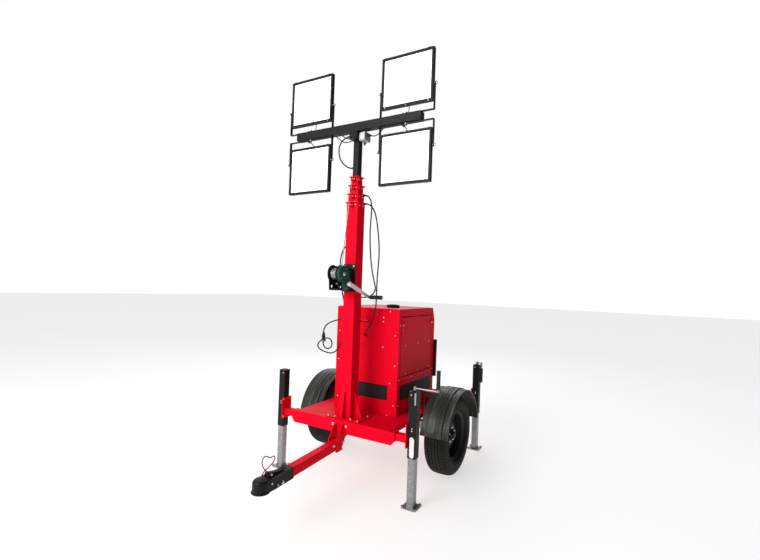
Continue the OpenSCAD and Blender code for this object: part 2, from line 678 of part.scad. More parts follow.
module canopy_shell() difference() {
    w = canopy_w / 2;
    union() {
        difference() {
            translate([-w, 0, 0]) rotate([90, 0, 90]) linear_extrude(2 * w) polygon([
                each [[canopy_front, canopy_base], [canopy_rear, canopy_base], [canopy_rear, canopy_top - 112],
                [canopy_rear - 42, canopy_top]], each arc([canopy_front + 14, canopy_top - 14], 14, 90, 180, 4)]);
            block([-w + panel_t, canopy_front + panel_t, canopy_base - 1], [w - panel_t, canopy_rear - panel_t - 24, canopy_top - panel_t]);
        }
        for (s = [-1, 1]) hinge_half(s, -1);
    }
    for (s = [-1, 1]) difference() {
        door_outline(s, 6);
        hinge_half(s, -1);
    }
    for (s = [-1, 1]) hinge_pin(s, 2.5 + run);
    // Vents: front, both sides, rear
    block([-vent_x, canopy_front - 1, vent_low], [vent_x, canopy_front + panel_t + 1, vent_high]);
    block([-w - 1, vent_y0, vent_low], [w + 1, vent_y1, vent_high]);
    block([-vent_x, canopy_rear - panel_t - 25, vent_low], [vent_x, canopy_rear + 1, vent_high + rear_vent]);
    // Hole for the cap's neck
    translate([cap_x(), cap_y(), canopy_top - panel_t - 1]) cylinder(h = panel_t + 2, r = neck_r + gap);
}

// A bank of slanted slats across an opening l wide and h high, the outside towards -Y.
module louvre(l, h) {
    n = floor(h / slat_pitch);
    for (i = [0 : n - 1]) translate([-l / 2 - weld, 0, (i + 0.5) * h / n]) rotate([90, 0, 90])
        linear_extrude(l + 2 * weld) polygon([[3, -7], [6, -7], [17, 7], [14, 7]]);
}

module canopy_slats() {
    translate([0, canopy_front, vent_low]) louvre(2 * vent_x, vent_h);
    for (s = [-1, 1]) translate([s * canopy_w / 2, (vent_y0 + vent_y1) / 2, vent_low]) rotate([0, 0, s * 90])
        louvre(vent_y1 - vent_y0, vent_h);
    translate([0, canopy_rear, vent_low]) rotate([0, 0, 180]) louvre(2 * vent_x, vent_h + rear_vent);
}

neck_r = 22;
function cap_x() = 97;
function cap_y() = canopy_front + 250;

module door(side) color("red") {
    door_outline(side, 0);
    hinge_half(side, 1);
    hinge_pin(side, 2.5);
    // Latches near the top of both edges
    for (end = [-1, 1]) translate([side * canopy_w / 2, end < 0 ? door_y0 + 10 : door_y1 - 10, door_top - 78])
        rotate([90, 0, side * 90]) {
            linear_extrude(3) polygon([[0, 30], [-side * end * 34, 30], [0, -34]]);
            translate([-side * end * 10, 18, 0]) cylinder(h = 9, r = 7, $fn = 24);
        }
}

module engine() color("gray")
    block([-engine_w / 2, canopy_front + 70, canopy_base + gap],
        [engine_w / 2, canopy_front + 70 + engine_l, canopy_base + engine_h]);

module roof_cap() color("dimgray") translate([cap_x(), cap_y(), canopy_top]) {
    translate([0, 0, -panel_t - 20]) cylinder(h = panel_t + 20, r = neck_r);
    cylinder(h = 22, r = cap_r);
}

// Winch

winch_y = -mast_w / 2;
drum_y = winch_y - drum_out;
spindle_y = winch_y - spindle_out;
cheek_t = 4;
drum_x0 = -52 + cheek_t;       // inner face of the left cheek
drum_x1 = drum_x0 + drum_l + 12;
case_w = 26;
shaft_r = 7;
teeth = 16;
WIND = 9;                      // turns of rope side by side on the drum

// A side plate: a foot on the mast, a round head behind the drum and a window past the spindle.
module cheek(x) translate([x, 0, 0]) rotate([90, 0, 90]) linear_extrude(cheek_t) difference() {
    union() {
        polygon([[winch_y - 6, 1440], [winch_y - 6, 1600], [drum_y + 40, 1620], [drum_y - 40, 1540],
            [winch_y - 180, 1440]]);
        translate([drum_y, drum_z]) circle(52);
    }
    translate([drum_y, drum_z]) circle(12 + run);
    translate([spindle_y, spindle_z]) circle(shaft_r + run);
    translate([winch_y - 44, 1550]) offset(8) square([20, 60], center = true);
    translate([winch_y - 152, 1468]) circle(10);
    translate([winch_y - 40, 1464]) circle(10);
}

module winch_frame() color("dimgray") {
    difference() {
        block([-52, winch_y - 6, 1432], [52, winch_y, 1640]);
        for (s = [-1, 1]) translate([s * 40, winch_y - 3, 1624]) rotate([90, 0, 0]) cylinder(h = 10, r = 5, center = true);
    }
    cheek(-52);
    cheek(drum_x1);
    // Floor with a turned-up front edge
    block([-52, winch_y - 178, 1440], [drum_x1 + weld, winch_y - 6 + weld, 1444]);
    block([-52, winch_y - 180, 1440], [drum_x1 + weld, winch_y - 176, 1452]);
    // Pawl over the ratchet, on its pin
    translate([-52, winch_y - 66, spindle_z + 30]) rotate([0, -90, 0]) cylinder(h = 16, r = 5);
    translate([-66, 0, 0]) rotate([90, 0, 90]) linear_extrude(5) polygon(concat(
        arc([winch_y - 66, spindle_z + 30], 9, -60, 150, 6), [[spindle_y + 6, spindle_z + 34 + gap], [spindle_y + 12, spindle_z + 32]]));
}

// The pressed cover over the gears: a round top and a round foot, its rim turned out.
module winch_gear_case() color("darkgreen") difference() {
    union() {
        translate([drum_x1 + cheek_t, 0, 0]) rotate([90, 0, 90]) linear_extrude(case_w) case_outline(0);
        translate([drum_x1 + cheek_t, 0, 0]) rotate([90, 0, 90]) linear_extrude(3) case_outline(5);
    }
    translate([0, spindle_y, spindle_z]) rotate([0, 90, 0]) cylinder(h = 300, r = shaft_r + run, center = true);
    translate([0, drum_y, drum_z]) rotate([0, 90, 0]) cylinder(h = 2 * (drum_x1 + cheek_t + 6), r = 12 + run, center = true);
}
module case_outline(rim) {
    translate([drum_y, drum_z]) circle(60 + rim);
    translate([spindle_y, spindle_z]) circle(46 + rim);
    polygon([[drum_y - 58 - rim, drum_z - 16], [spindle_y - 46 - rim, spindle_z], [spindle_y + 46 + rim, spindle_z],
        [drum_y + 58 + rim, drum_z + 16]]);
}

// The drum's core and its two flanges, which have lightening holes.
module winch_drum() color("gray") translate([drum_x0 + gap, drum_y, drum_z]) rotate([0, 90, 0]) {
    l = drum_x1 - drum_x0 - 2 * gap;
    for (z = [0, l - 5]) translate([0, 0, z]) difference() {
        rotate_extrude() polygon([[0, 0], [drum_flange - 3, 0], [drum_flange, 1.5], [drum_flange, 3.5], [drum_flange - 3, 5], [0, 5]]);
        for (a = [30 : 60 : 330]) rotate([0, 0, a]) translate([drum_flange - 14, 0, -1]) cylinder(h = 7, r = 6, $fn = 24);
    }
    cylinder(h = l, r = drum_core);
    translate([0, 0, -cheek_t - 2]) cylinder(h = l + 2 * cheek_t, r = 12);
}

// The spindle through both cheeks, the ratchet on its left end, and the crank with its grip on the right.
module winch_crank() color("silver") {
    x0 = drum_x1 + cheek_t + case_w;
    lean = 19.6;
    translate([-72, spindle_y, spindle_z]) rotate([0, 90, 0]) cylinder(h = x0 + 72 + 30, r = shaft_r);
    translate([-66, 0, 0]) rotate([90, 0, 90]) linear_extrude(6) polygon([for (i = [0 : teeth - 1], k = [0, 1])
        let (a = 360 * (i + 0.15 * k) / teeth, r = k == 0 ? 30 : 23) [spindle_y + r * cos(a), spindle_z + r * sin(a)]]);
    translate([x0 + gap, spindle_y, spindle_z]) rotate([0, 90, 0]) cylinder(h = 30, r = 13);
    // Arm: a pressed strip that widens at the hub
    translate([x0 + 18, spindle_y, spindle_z]) rotate([-lean, 0, 0]) rotate([90, 0, 90]) linear_extrude(7) polygon(concat(
        arc([0, 0], 19, 300, 60, 6), arc([crank_l, 0], 12, 70, -70, 6)));
    translate([x0 + 18, spindle_y + crank_l * cos(lean), spindle_z - crank_l * sin(lean)]) rotate([0, 90, 0]) {
        cylinder(h = 126, r = 6);
        translate([0, 0, 12]) rotate_extrude() polygon([[0, 0], [12, 0], [14, 4], [13, 50], [14, 104], [11, 110], [0, 110]]);
    }
}

// The lifting rope: its turns on the drum, and the run up to the pulley on the fixed tube's collar.
module winch_rope() color("gainsboro") {
    winding = drum_core + gap + rope_r;
    pitch = 2 * rope_r - 0.2;
    translate([-winding_l() / 2 + (drum_x0 + drum_x1) / 2, drum_y, drum_z]) rotate([0, 90, 0]) rotate_extrude()
        for (i = [0 : WIND - 1]) translate([winding, rope_r + i * pitch]) circle(rope_r, $fn = 16);
    low = [0, drum_y + winding, drum_z];
    high = [0, -width(0) / 2 - 11 - 12 - 17 - rope_r - gap, collar_z(0) - collar_t - 18];
    d = high - low;
    translate(low) rotate([0, acos(d.z / norm(d)), atan2(d.y, d.x)]) cylinder(h = norm(d), r = rope_r, $fn = 16);
}
function winding_l() = 2 * rope_r + (WIND - 1) * (2 * rope_r - 0.2);

// Cords

// A point on the smooth curve through p at i plus t.
function bend(p, i, t) = let (n = len(p) - 1, a = p[max(i - 1, 0)], b = p[i], c = p[min(i + 1, n)], d = p[min(i + 2, n)])
    0.5 * (2 * b + (c - a) * t + (2 * a - 5 * b + 4 * c - d) * t * t + (3 * b - a - 3 * c + d) * t * t * t);
function route(p, steps) = concat([for (i = [0 : len(p) - 2], k = [0 : steps - 1]) bend(p, i, k / steps)], [p[len(p) - 1]]);
function unit(v) = v / norm(v);
function ring(c, t, up, r, sides) = let (u = unit(cross(t, up)), v = cross(u, t))
    [for (k = [0 : sides - 1]) c + r * (cos(360 * k / sides) * u + sin(360 * k / sides) * v)];

module cord(p, r, steps, up, sides = 8) {
    q = route(p, steps);
    n = len(q);
    last = len(p) - 1;
    // The end rings lie square to the first and last stretch
    ahead = [for (i = [0 : n - 1]) i == 0 ? p[1] - p[0] : i == n - 1 ? p[last] - p[last - 1] : q[i + 1] - q[i - 1]];
    points = [for (i = [0 : n - 1]) each ring(q[i], unit(ahead[i]), up, r, sides)];
    walls = [for (i = [0 : n - 2], k = [0 : sides - 1]) let (a = i * sides + k, b = i * sides + (k + 1) % sides)
        [a, b, b + sides, a + sides]];
    polyhedron(concat(points), concat(walls, [[for (k = [sides - 1 : -1 : 0]) k]],
        [[for (k = [0 : sides - 1]) (n - 1) * sides + k]]));
}

cable_r = 5;
MAST_CABLE = [[72, 221.5, 1086], [72, 200, 1086], [92, 174, 1112], [116, 160, 1180], [124, 156, 1260], [122, 156, 1340],
    [120, 152, 1435], [136, 130, 1560], [156, 110, 1700], [160, 98, 1796], [150, 88, 1920], [132, 60, 2020],
    [110, 14, 2086], [88, 0, 2098], [72.6, 0, 2098]];
module mast_cable() color("black") cord(MAST_CABLE, cable_r, 4, [0, 1, 0.1]);

UPPER_CABLE = [[20, 50.5, 1392], [20, 66, 1392], [28, 104, 1386], [46, 142, 1394], [78, 164, 1414], [104, 160, 1450],
    [98, 138, 1530], [86, 116, 1650], [80, 100, 1780], [84, 84, 1920], [94, 60, 2050], [94, 24, 2136],
    [84, 0, 2162], [66.5, 0, 2162]];
module mast_cable_upper() color("black") cord(UPPER_CABLE, cable_r, 4, [0, 1, 0.1]);

POST_CABLE = [[-33.5, -60, 2606], [-48, -60, 2606], [-66, -88, 2580], [-80, -112, 2530], [-86, -114, 2480],
    [-78, -92, 2424], [-60, -44, 2392], [-42, -8, 2380], [-25.5, -8, 2380]];
module post_cable() color("black") cord(POST_CABLE, cable_r, 3, [0, 1, 0.1]);

SIDE_LEAD = [[-50.5, 30, 1800], [-66, 30, 1800], [-84, 62, 1720], [-92, 76, 1620], [-92, 76, 1520], [-84, 74, 1420],
    [-70, 70, 1330], [-74, 64, 1260], [-100, 60, 1216], [-170, 54, 1194], [-238, 48, 1160], [-284, 46, 1132],
    [-298, 46, 1112], [-298, 46, 1100.4]];
LEAD_TAIL = [[-298, 46, 1019.6], [-298, 46, 1004], [-288, 48, 978], [-262, 52, 962], [-228, 56, 976],
    [-217, 60, 1008], [-234, 64, 1040], [-264, 70, 1052], [-306, 74, 1042], [-346, 70, 1022], [-370, 60, 992],
    [-350, 48, 966], [-304, 40, 954], [-262, 36, 944], [-215, 36, 938], [-168, 38, 954], [-140, 42, 990],
    [-124, 46, 1030], [-98, 46, 1054], [-68, 46, 1058], [-50.5, 46, 1058]];
module side_lead() color("black") {
    cord(SIDE_LEAD, cable_r, 3, [0, 1, 0.1]);
    cord(LEAD_TAIL, cable_r, 2, [0, 1, 0.1]);
}

module side_plug() color("dimgray") translate([-298, 46, 1040]) {
    cylinder(h = 60, r = 13);
    translate([0, 0, -20]) cylinder(h = 22, r = 18);
}

place() chassis();
place() deck();
place() drawbar();
place() coupler();
place() safety_loop();
place() axle();
place() fenders();
place() wheel_place(-1) tyre();  // tyre_left
place() wheel_place(-1) rim();  // rim_left
place() wheel_place(1) tyre();  // tyre_right
place() wheel_place(1) rim();  // rim_right
place() mast_tube();
place() mast_stage(1);  // mast_stage_2
place() mast_stage(2);  // mast_stage_3
place() mast_stage(3);  // mast_stage_4
place() mast_post();
place() t_bar();
place() junction_box();
place() yoke(-1, 1);  // yoke_upper_left
place() yoke(1, 1);  // yoke_upper_right
place() yoke(-1, -1);  // yoke_lower_left
place() yoke(1, -1);  // yoke_lower_right
place() lamp(-1, 1);  // lamp_upper_left
place() lamp(1, 1);  // lamp_upper_right
place() lamp(-1, -1);  // lamp_lower_left
place() lamp(1, -1);  // lamp_lower_right
place() glass(-1, 1);  // glass_upper_left
place() glass(1, 1);  // glass_upper_right
place() glass(-1, -1);  // glass_lower_left
place() glass(1, -1);  // glass_lower_right
place() arm(-1, -jack_front);  // arm_front_left
place() arm(1, -jack_front);  // arm_front_right
place() arm(-1, jack_rear);  // arm_rear_left
place() arm(1, jack_rear);  // arm_rear_right
place() jack(-1, -jack_front, 0);  // jack_front_left
place() jack(1, -jack_front, 1);  // jack_front_right
place() jack(-1, jack_rear, 1);  // jack_rear_left
place() jack(1, jack_rear, 2);  // jack_rear_right
place() leg(-1, -jack_front);  // leg_front_left
place() leg(1, -jack_front);  // leg_front_right
place() leg(-1, jack_rear);  // leg_rear_left
place() leg(1, jack_rear);  // leg_rear_right
place() crank(1, -jack_front, 1);  // crank_front_right
place() crank(-1, jack_rear, 1);  // crank_rear_left
place() crank(1, jack_rear, 2);  // crank_rear_right
place() canopy();
place() door(-1);  // door_left
place() door(1);  // door_right
place() engine();
place() roof_cap();
place() winch_frame();
place() winch_gear_case();
place() winch_drum();
place() winch_crank();
place() winch_rope();
place() mast_cable();
place() mast_cable_upper();
place() post_cable();
place() side_lead();
place() side_plug();
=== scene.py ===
import json
import math

import bpy
import numpy as np
from mathutils import Matrix, Vector


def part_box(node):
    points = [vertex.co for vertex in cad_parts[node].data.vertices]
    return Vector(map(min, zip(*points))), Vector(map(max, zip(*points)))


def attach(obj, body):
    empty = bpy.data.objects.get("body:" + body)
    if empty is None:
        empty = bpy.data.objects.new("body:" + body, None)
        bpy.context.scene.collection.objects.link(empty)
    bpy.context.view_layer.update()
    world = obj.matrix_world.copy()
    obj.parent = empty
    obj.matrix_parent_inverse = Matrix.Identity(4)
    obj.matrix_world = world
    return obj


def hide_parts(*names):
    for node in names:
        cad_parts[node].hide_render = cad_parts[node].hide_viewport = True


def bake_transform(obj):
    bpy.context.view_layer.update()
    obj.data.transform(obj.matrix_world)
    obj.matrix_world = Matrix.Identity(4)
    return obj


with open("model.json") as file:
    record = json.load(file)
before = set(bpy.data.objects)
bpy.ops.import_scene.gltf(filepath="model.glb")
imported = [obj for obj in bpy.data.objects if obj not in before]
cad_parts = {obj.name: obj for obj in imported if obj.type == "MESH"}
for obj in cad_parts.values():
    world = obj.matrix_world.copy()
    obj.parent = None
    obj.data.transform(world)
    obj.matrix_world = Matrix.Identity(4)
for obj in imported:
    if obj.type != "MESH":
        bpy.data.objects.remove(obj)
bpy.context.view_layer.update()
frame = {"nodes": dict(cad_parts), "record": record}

NODES = frame["nodes"]
X, Y, Z = Vector((1, 0, 0)), Vector((0, 1, 0)), Vector((0, 0, 1))
SIDES = (("left", -1), ("right", 1))
CORNERS = ("front_left", "front_right", "rear_left", "rear_right")
LAMPS = ("upper_left", "upper_right", "lower_left", "lower_right")
MAST_Y = sum(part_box("mast_post")[i].y for i in (0, 1)) / 2


# Camera

CAMERA_AT = (1.871, -2.7691, 1.4744)    # from the foot of the mast's axis
CAMERA_YAW = 30.538
CAMERA_PITCH = 0.933
CAMERA_ROLL = 2.055
CAMERA_LENS = 20.72


def make_camera():
    yaw, pitch, roll = (math.radians(a) for a in (CAMERA_YAW, CAMERA_PITCH, CAMERA_ROLL))
    ahead = Vector((-math.sin(yaw) * math.cos(pitch), math.cos(yaw) * math.cos(pitch), math.sin(pitch)))
    right = ahead.cross(Z).normalized()
    up = right.cross(ahead)
    turned_right = right * math.cos(roll) + up * math.sin(roll)
    turned_up = up * math.cos(roll) - right * math.sin(roll)
    data = bpy.data.cameras.new("camera")
    data.lens = CAMERA_LENS
    data.sensor_width = 36
    data.clip_start = 0.05
    data.clip_end = 100
    camera = bpy.data.objects.new("camera", data)
    bpy.context.scene.collection.objects.link(camera)
    turn = Matrix((turned_right, turned_up, -ahead)).transposed().to_4x4()
    place = Matrix.Translation((CAMERA_AT[0], CAMERA_AT[1] + MAST_Y, CAMERA_AT[2]))
    camera.matrix_world = place @ turn
    bpy.context.scene.camera = camera


# Materials

class Nodes:
    """A material's node tree, with short calls for the nodes that the finishes share."""

    def __init__(self, name):
        self.material = bpy.data.materials.new(name)
        self.material.use_nodes = True
        self.tree = self.material.node_tree
        self.shader = self.tree.nodes["Principled BSDF"]
        self.place = self.tree.nodes.new("ShaderNodeTexCoord").outputs["Object"]

    def new(self, kind, **values):
        node = self.tree.nodes.new(kind)
        for key, value in values.items():
            if key in node.inputs:
                node.inputs[key].default_value = value
            else:
                setattr(node, key, value)
        return node

    def link(self, source, target):
        self.tree.links.new(source, target)

    def noise(self, scale, detail=3.0, roughness=0.55, stretch=None):
        node = self.new("ShaderNodeTexNoise", Scale=scale, Detail=detail, Roughness=roughness)
        place = self.place
        if stretch:
            mapping = self.new("ShaderNodeMapping")
            mapping.inputs["Scale"].default_value = stretch
            self.link(place, mapping.inputs["Vector"])
            place = mapping.outputs["Vector"]
        self.link(place, node.inputs["Vector"])
        return node.outputs["Fac"]

    def spread(self, source, low, high, start=0.3, end=0.7):
        node = self.new("ShaderNodeMapRange")
        for key, value in (("From Min", start), ("From Max", end), ("To Min", low), ("To Max", high)):
            node.inputs[key].default_value = value
        self.link(source, node.inputs["Value"])
        return node.outputs["Result"]

    def blend(self, factor, first, second):
        node = self.new("ShaderNodeMix", data_type="RGBA")
        self.link(factor, node.inputs["Factor"])
        for value, socket in ((first, node.inputs["A"]), (second, node.inputs["B"])):
            if hasattr(value, "links"):
                self.link(value, socket)
            else:
                socket.default_value = (*value, 1)
        return node.outputs["Result"]

    def bump(self, height, strength, distance):
        node = self.new("ShaderNodeBump", Strength=strength, Distance=distance)
        self.link(height, node.inputs["Height"])
        return node.outputs["Normal"]

    def set(self, **values):
        for key, value in values.items():
            socket = self.shader.inputs[key.replace("_", " ")]
            if hasattr(value, "links"):
                self.link(value, socket)
            elif isinstance(value, tuple) and len(value) == 3:
                socket.default_value = (*value, 1)
            else:
                socket.default_value = value
        return self.material


def paint(name, colour, shade, rough, peel=0.04, dust=(0.35, 0.33, 0.3), dust_share=0.05, specular=0.5):
    """Paint or powder coat: a slow change of shade, fine peel, and a little dust."""
    n = Nodes(name)
    base = n.blend(n.spread(n.noise(2.5), 0, 1), shade, colour)
    fine = n.noise(9, 6, 0.7)
    base = n.blend(n.spread(fine, 0, dust_share, 0.55, 0.8), base, dust)
    roughness = n.spread(n.noise(30, 4), rough * 0.8, rough * 1.3)
    normal = n.bump(n.noise(700, 2), peel, 0.0006)
    return n.set(Base_Color=base, Roughness=roughness, Normal=normal, Specular_IOR_Level=specular)


def galvanised():
    """Zinc coat: pale spangles with soft edges and darker streaks down the leg."""
    n = Nodes("galvanised_steel")
    cells = n.new("ShaderNodeTexVoronoi", Scale=95.0)
    n.link(n.place, cells.inputs["Vector"])
    tone = n.spread(cells.outputs["Color"], 0, 1, 0.1, 0.9)
    base = n.blend(tone, (0.24, 0.25, 0.25), (0.40, 0.41, 0.41))
    streak = n.spread(n.noise(14, 5, 0.6, (1, 1, 0.08)), 0, 0.6, 0.45, 0.75)
    base = n.blend(streak, base, (0.2, 0.2, 0.2))
    roughness = n.spread(tone, 0.34, 0.52, 0, 1)
    return n.set(Base_Color=base, Roughness=roughness, Metallic=0.85, Normal=n.bump(n.noise(300, 3), 0.05, 0.0004))


def zinc():
    """Bright zinc-plated hardware."""
    n = Nodes("zinc_plate")
    base = n.blend(n.spread(n.noise(60, 4), 0, 1), (0.5, 0.5, 0.49), (0.75, 0.75, 0.74))
    return n.set(Base_Color=base, Roughness=n.spread(n.noise(90, 3), 0.22, 0.4), Metallic=0.95)


def plastic(name, colour, pale, rough, grain=260, specular=0.2):
    """Moulded plastic: fine grain, worn paler in slow patches."""
    n = Nodes(name)
    worn = n.spread(n.noise(6, 5, 0.65), 0, 0.55, 0.45, 0.8)
    base = n.blend(worn, colour, pale)
    return n.set(Base_Color=base, Roughness=n.spread(n.noise(40, 4), rough * 0.85, rough * 1.2),
                 Specular_IOR_Level=specular, Normal=n.bump(n.noise(grain, 3), 0.12, 0.0005))


def fender_plastic_painted_highlights():
    """Mudguard plastic, dark green-grey, with paler streaks along the wheel's way that are painted highlights."""
    n = Nodes("fender_plastic_painted_highlights")
    # The paler streaks are painted highlights
    streak = n.spread(n.noise(26, 4, 0.6, (1, 0.12, 0.12)), 0, 0.75, 0.52, 0.72)
    base = n.blend(streak, (0.019, 0.023, 0.018), (0.13, 0.14, 0.125))
    return n.set(Base_Color=base, Roughness=n.spread(n.noise(40, 4), 0.34, 0.5), Specular_IOR_Level=0.3,
                 Normal=n.bump(n.noise(240, 3), 0.1, 0.0005))


def rubber(name, colour, pale, rough=0.75, specular=0.15):
    """Rubber: matt, with dust in slow patches and a fine skin."""
    n = Nodes(name)
    base = n.blend(n.spread(n.noise(11, 5, 0.6), 0, 0.6), colour, pale)
    return n.set(Base_Color=base, Roughness=n.spread(n.noise(50, 3), rough * 0.88, rough * 1.12),
                 Specular_IOR_Level=specular, Normal=n.bump(n.noise(500, 2), 0.1, 0.0004))


def reflector_painted_glow():
    """The inside of a lamp: satin white with a faint dimple, and a painted glow that keeps it bright whatever light
    falls on it.
    """
    n = Nodes("reflector_painted_glow")
    cells = n.new("ShaderNodeTexVoronoi", Scale=120.0)
    n.link(n.place, cells.inputs["Vector"])
    base = n.blend(n.spread(n.noise(8), 0, 1), (0.9, 0.9, 0.9), (0.98, 0.98, 0.97))
    # The emission is painted light: a glow that stands for studio light reflected from the white inside
    return n.set(Base_Color=base, Roughness=0.3, Emission_Color=(1, 1, 1), Emission_Strength=0.75,
                 Normal=n.bump(cells.outputs["Distance"], 0.15, 0.001))


def lamp_glow():
    """The frosted bulb of a discharge lamp."""
    n = Nodes("lamp_glow")
    base = n.blend(n.spread(n.noise(20), 0, 1), (0.93, 0.93, 0.92), (0.98, 0.98, 0.98))
    return n.set(Base_Color=base, Roughness=0.15, Emission_Color=(1, 1, 1), Emission_Strength=0.5)


def clear_glass():
    n = Nodes("lamp_glass")
    n.material.use_transparent_shadow = True
    return n.set(Base_Color=(0.97, 0.98, 0.98), Roughness=n.spread(n.noise(5), 0.02, 0.06), Transmission_Weight=1.0,
                 IOR=1.1, Alpha=0.12)


def cast_grey():
    n = Nodes("cast_grey")
    base = n.blend(n.spread(n.noise(12, 4), 0, 1), (0.34, 0.35, 0.35), (0.5, 0.51, 0.51))
    return n.set(Base_Color=base, Roughness=0.45, Metallic=0.6, Normal=n.bump(n.noise(350, 3), 0.2, 0.0005))


def bright_steel():
    """Satin zinc plate of the winch's crank: pale, brushed along its length."""
    n = Nodes("bright_steel")
    base = n.blend(n.spread(n.noise(40, 4, 0.6, (1, 0.15, 1)), 0, 1), (0.78, 0.75, 0.74), (0.96, 0.93, 0.92))
    return n.set(Base_Color=base, Roughness=n.spread(n.noise(70, 3), 0.3, 0.48), Metallic=0.35)


def wire_rope():
    """Steel wire rope: the lay of its strands as slanting bands."""
    n = Nodes("wire_rope")
    wave = n.new("ShaderNodeTexWave", Scale=55.0, Distortion=0.0)
    wave.bands_direction = "DIAGONAL"
    n.link(n.place, wave.inputs["Vector"])
    base = n.blend(wave.outputs["Fac"], (0.2, 0.2, 0.2), (0.62, 0.62, 0.61))
    return n.set(Base_Color=base, Roughness=0.4, Metallic=0.9, Normal=n.bump(wave.outputs["Fac"], 0.6, 0.001))


MATERIALS = {
    "red_paint": paint("red_paint", (0.80, 0.0009, 0.019), (0.74, 0.0008, 0.016), 0.34, peel=0.02,
                       dust=(0.75, 0.02, 0.04), dust_share=0.04, specular=0.035),
    "black_paint": paint("black_paint", (0.009, 0.0095, 0.009), (0.013, 0.0135, 0.013), 0.42, peel=0.08,
                         dust=(0.1, 0.1, 0.09), dust_share=0.03, specular=0.12),
    "galvanised_steel": galvanised(),
    "zinc": zinc(),
    "bright_steel": bright_steel(),
    "loop_red": rubber("loop_red", (0.30, 0.008, 0.018), (0.42, 0.012, 0.025), 0.4),
    "black_plastic": plastic("black_plastic", (0.014, 0.016, 0.014), (0.034, 0.037, 0.033), 0.42),
    "tyre_rubber": rubber("tyre_rubber", (0.013, 0.014, 0.013), (0.036, 0.037, 0.034)),
    "fender_plastic_painted_highlights": fender_plastic_painted_highlights(),
    "dark_steel": paint("dark_steel", (0.012, 0.013, 0.012), (0.02, 0.021, 0.02), 0.42, peel=0.1,
                        dust=(0.1, 0.1, 0.09), dust_share=0.04, specular=0.2),
    "grey_box": cast_grey(),
    "green_paint": paint("green_paint", (0.008, 0.060, 0.038), (0.006, 0.024, 0.018), 0.3,
                         dust=(0.2, 0.2, 0.18), dust_share=0.04, specular=0.3),
    "cable_rubber": rubber("cable_rubber", (0.01, 0.01, 0.01), (0.02, 0.02, 0.02), 0.5),
    "lamp_glass": clear_glass(),
    "reflector_painted_glow": reflector_painted_glow(),
    "lamp_glow": lamp_glow(),
    "engine_grey": paint("engine_grey", (0.05, 0.052, 0.055), (0.08, 0.08, 0.08), 0.5),
    "rope": wire_rope(),
    "label_white": plastic("label_white", (0.78, 0.78, 0.76), (0.62, 0.62, 0.6), 0.35, grain=90),
    "label_grey": plastic("label_grey", (0.3, 0.3, 0.3), (0.42, 0.42, 0.42), 0.4, grain=90),
}


# Mesh building

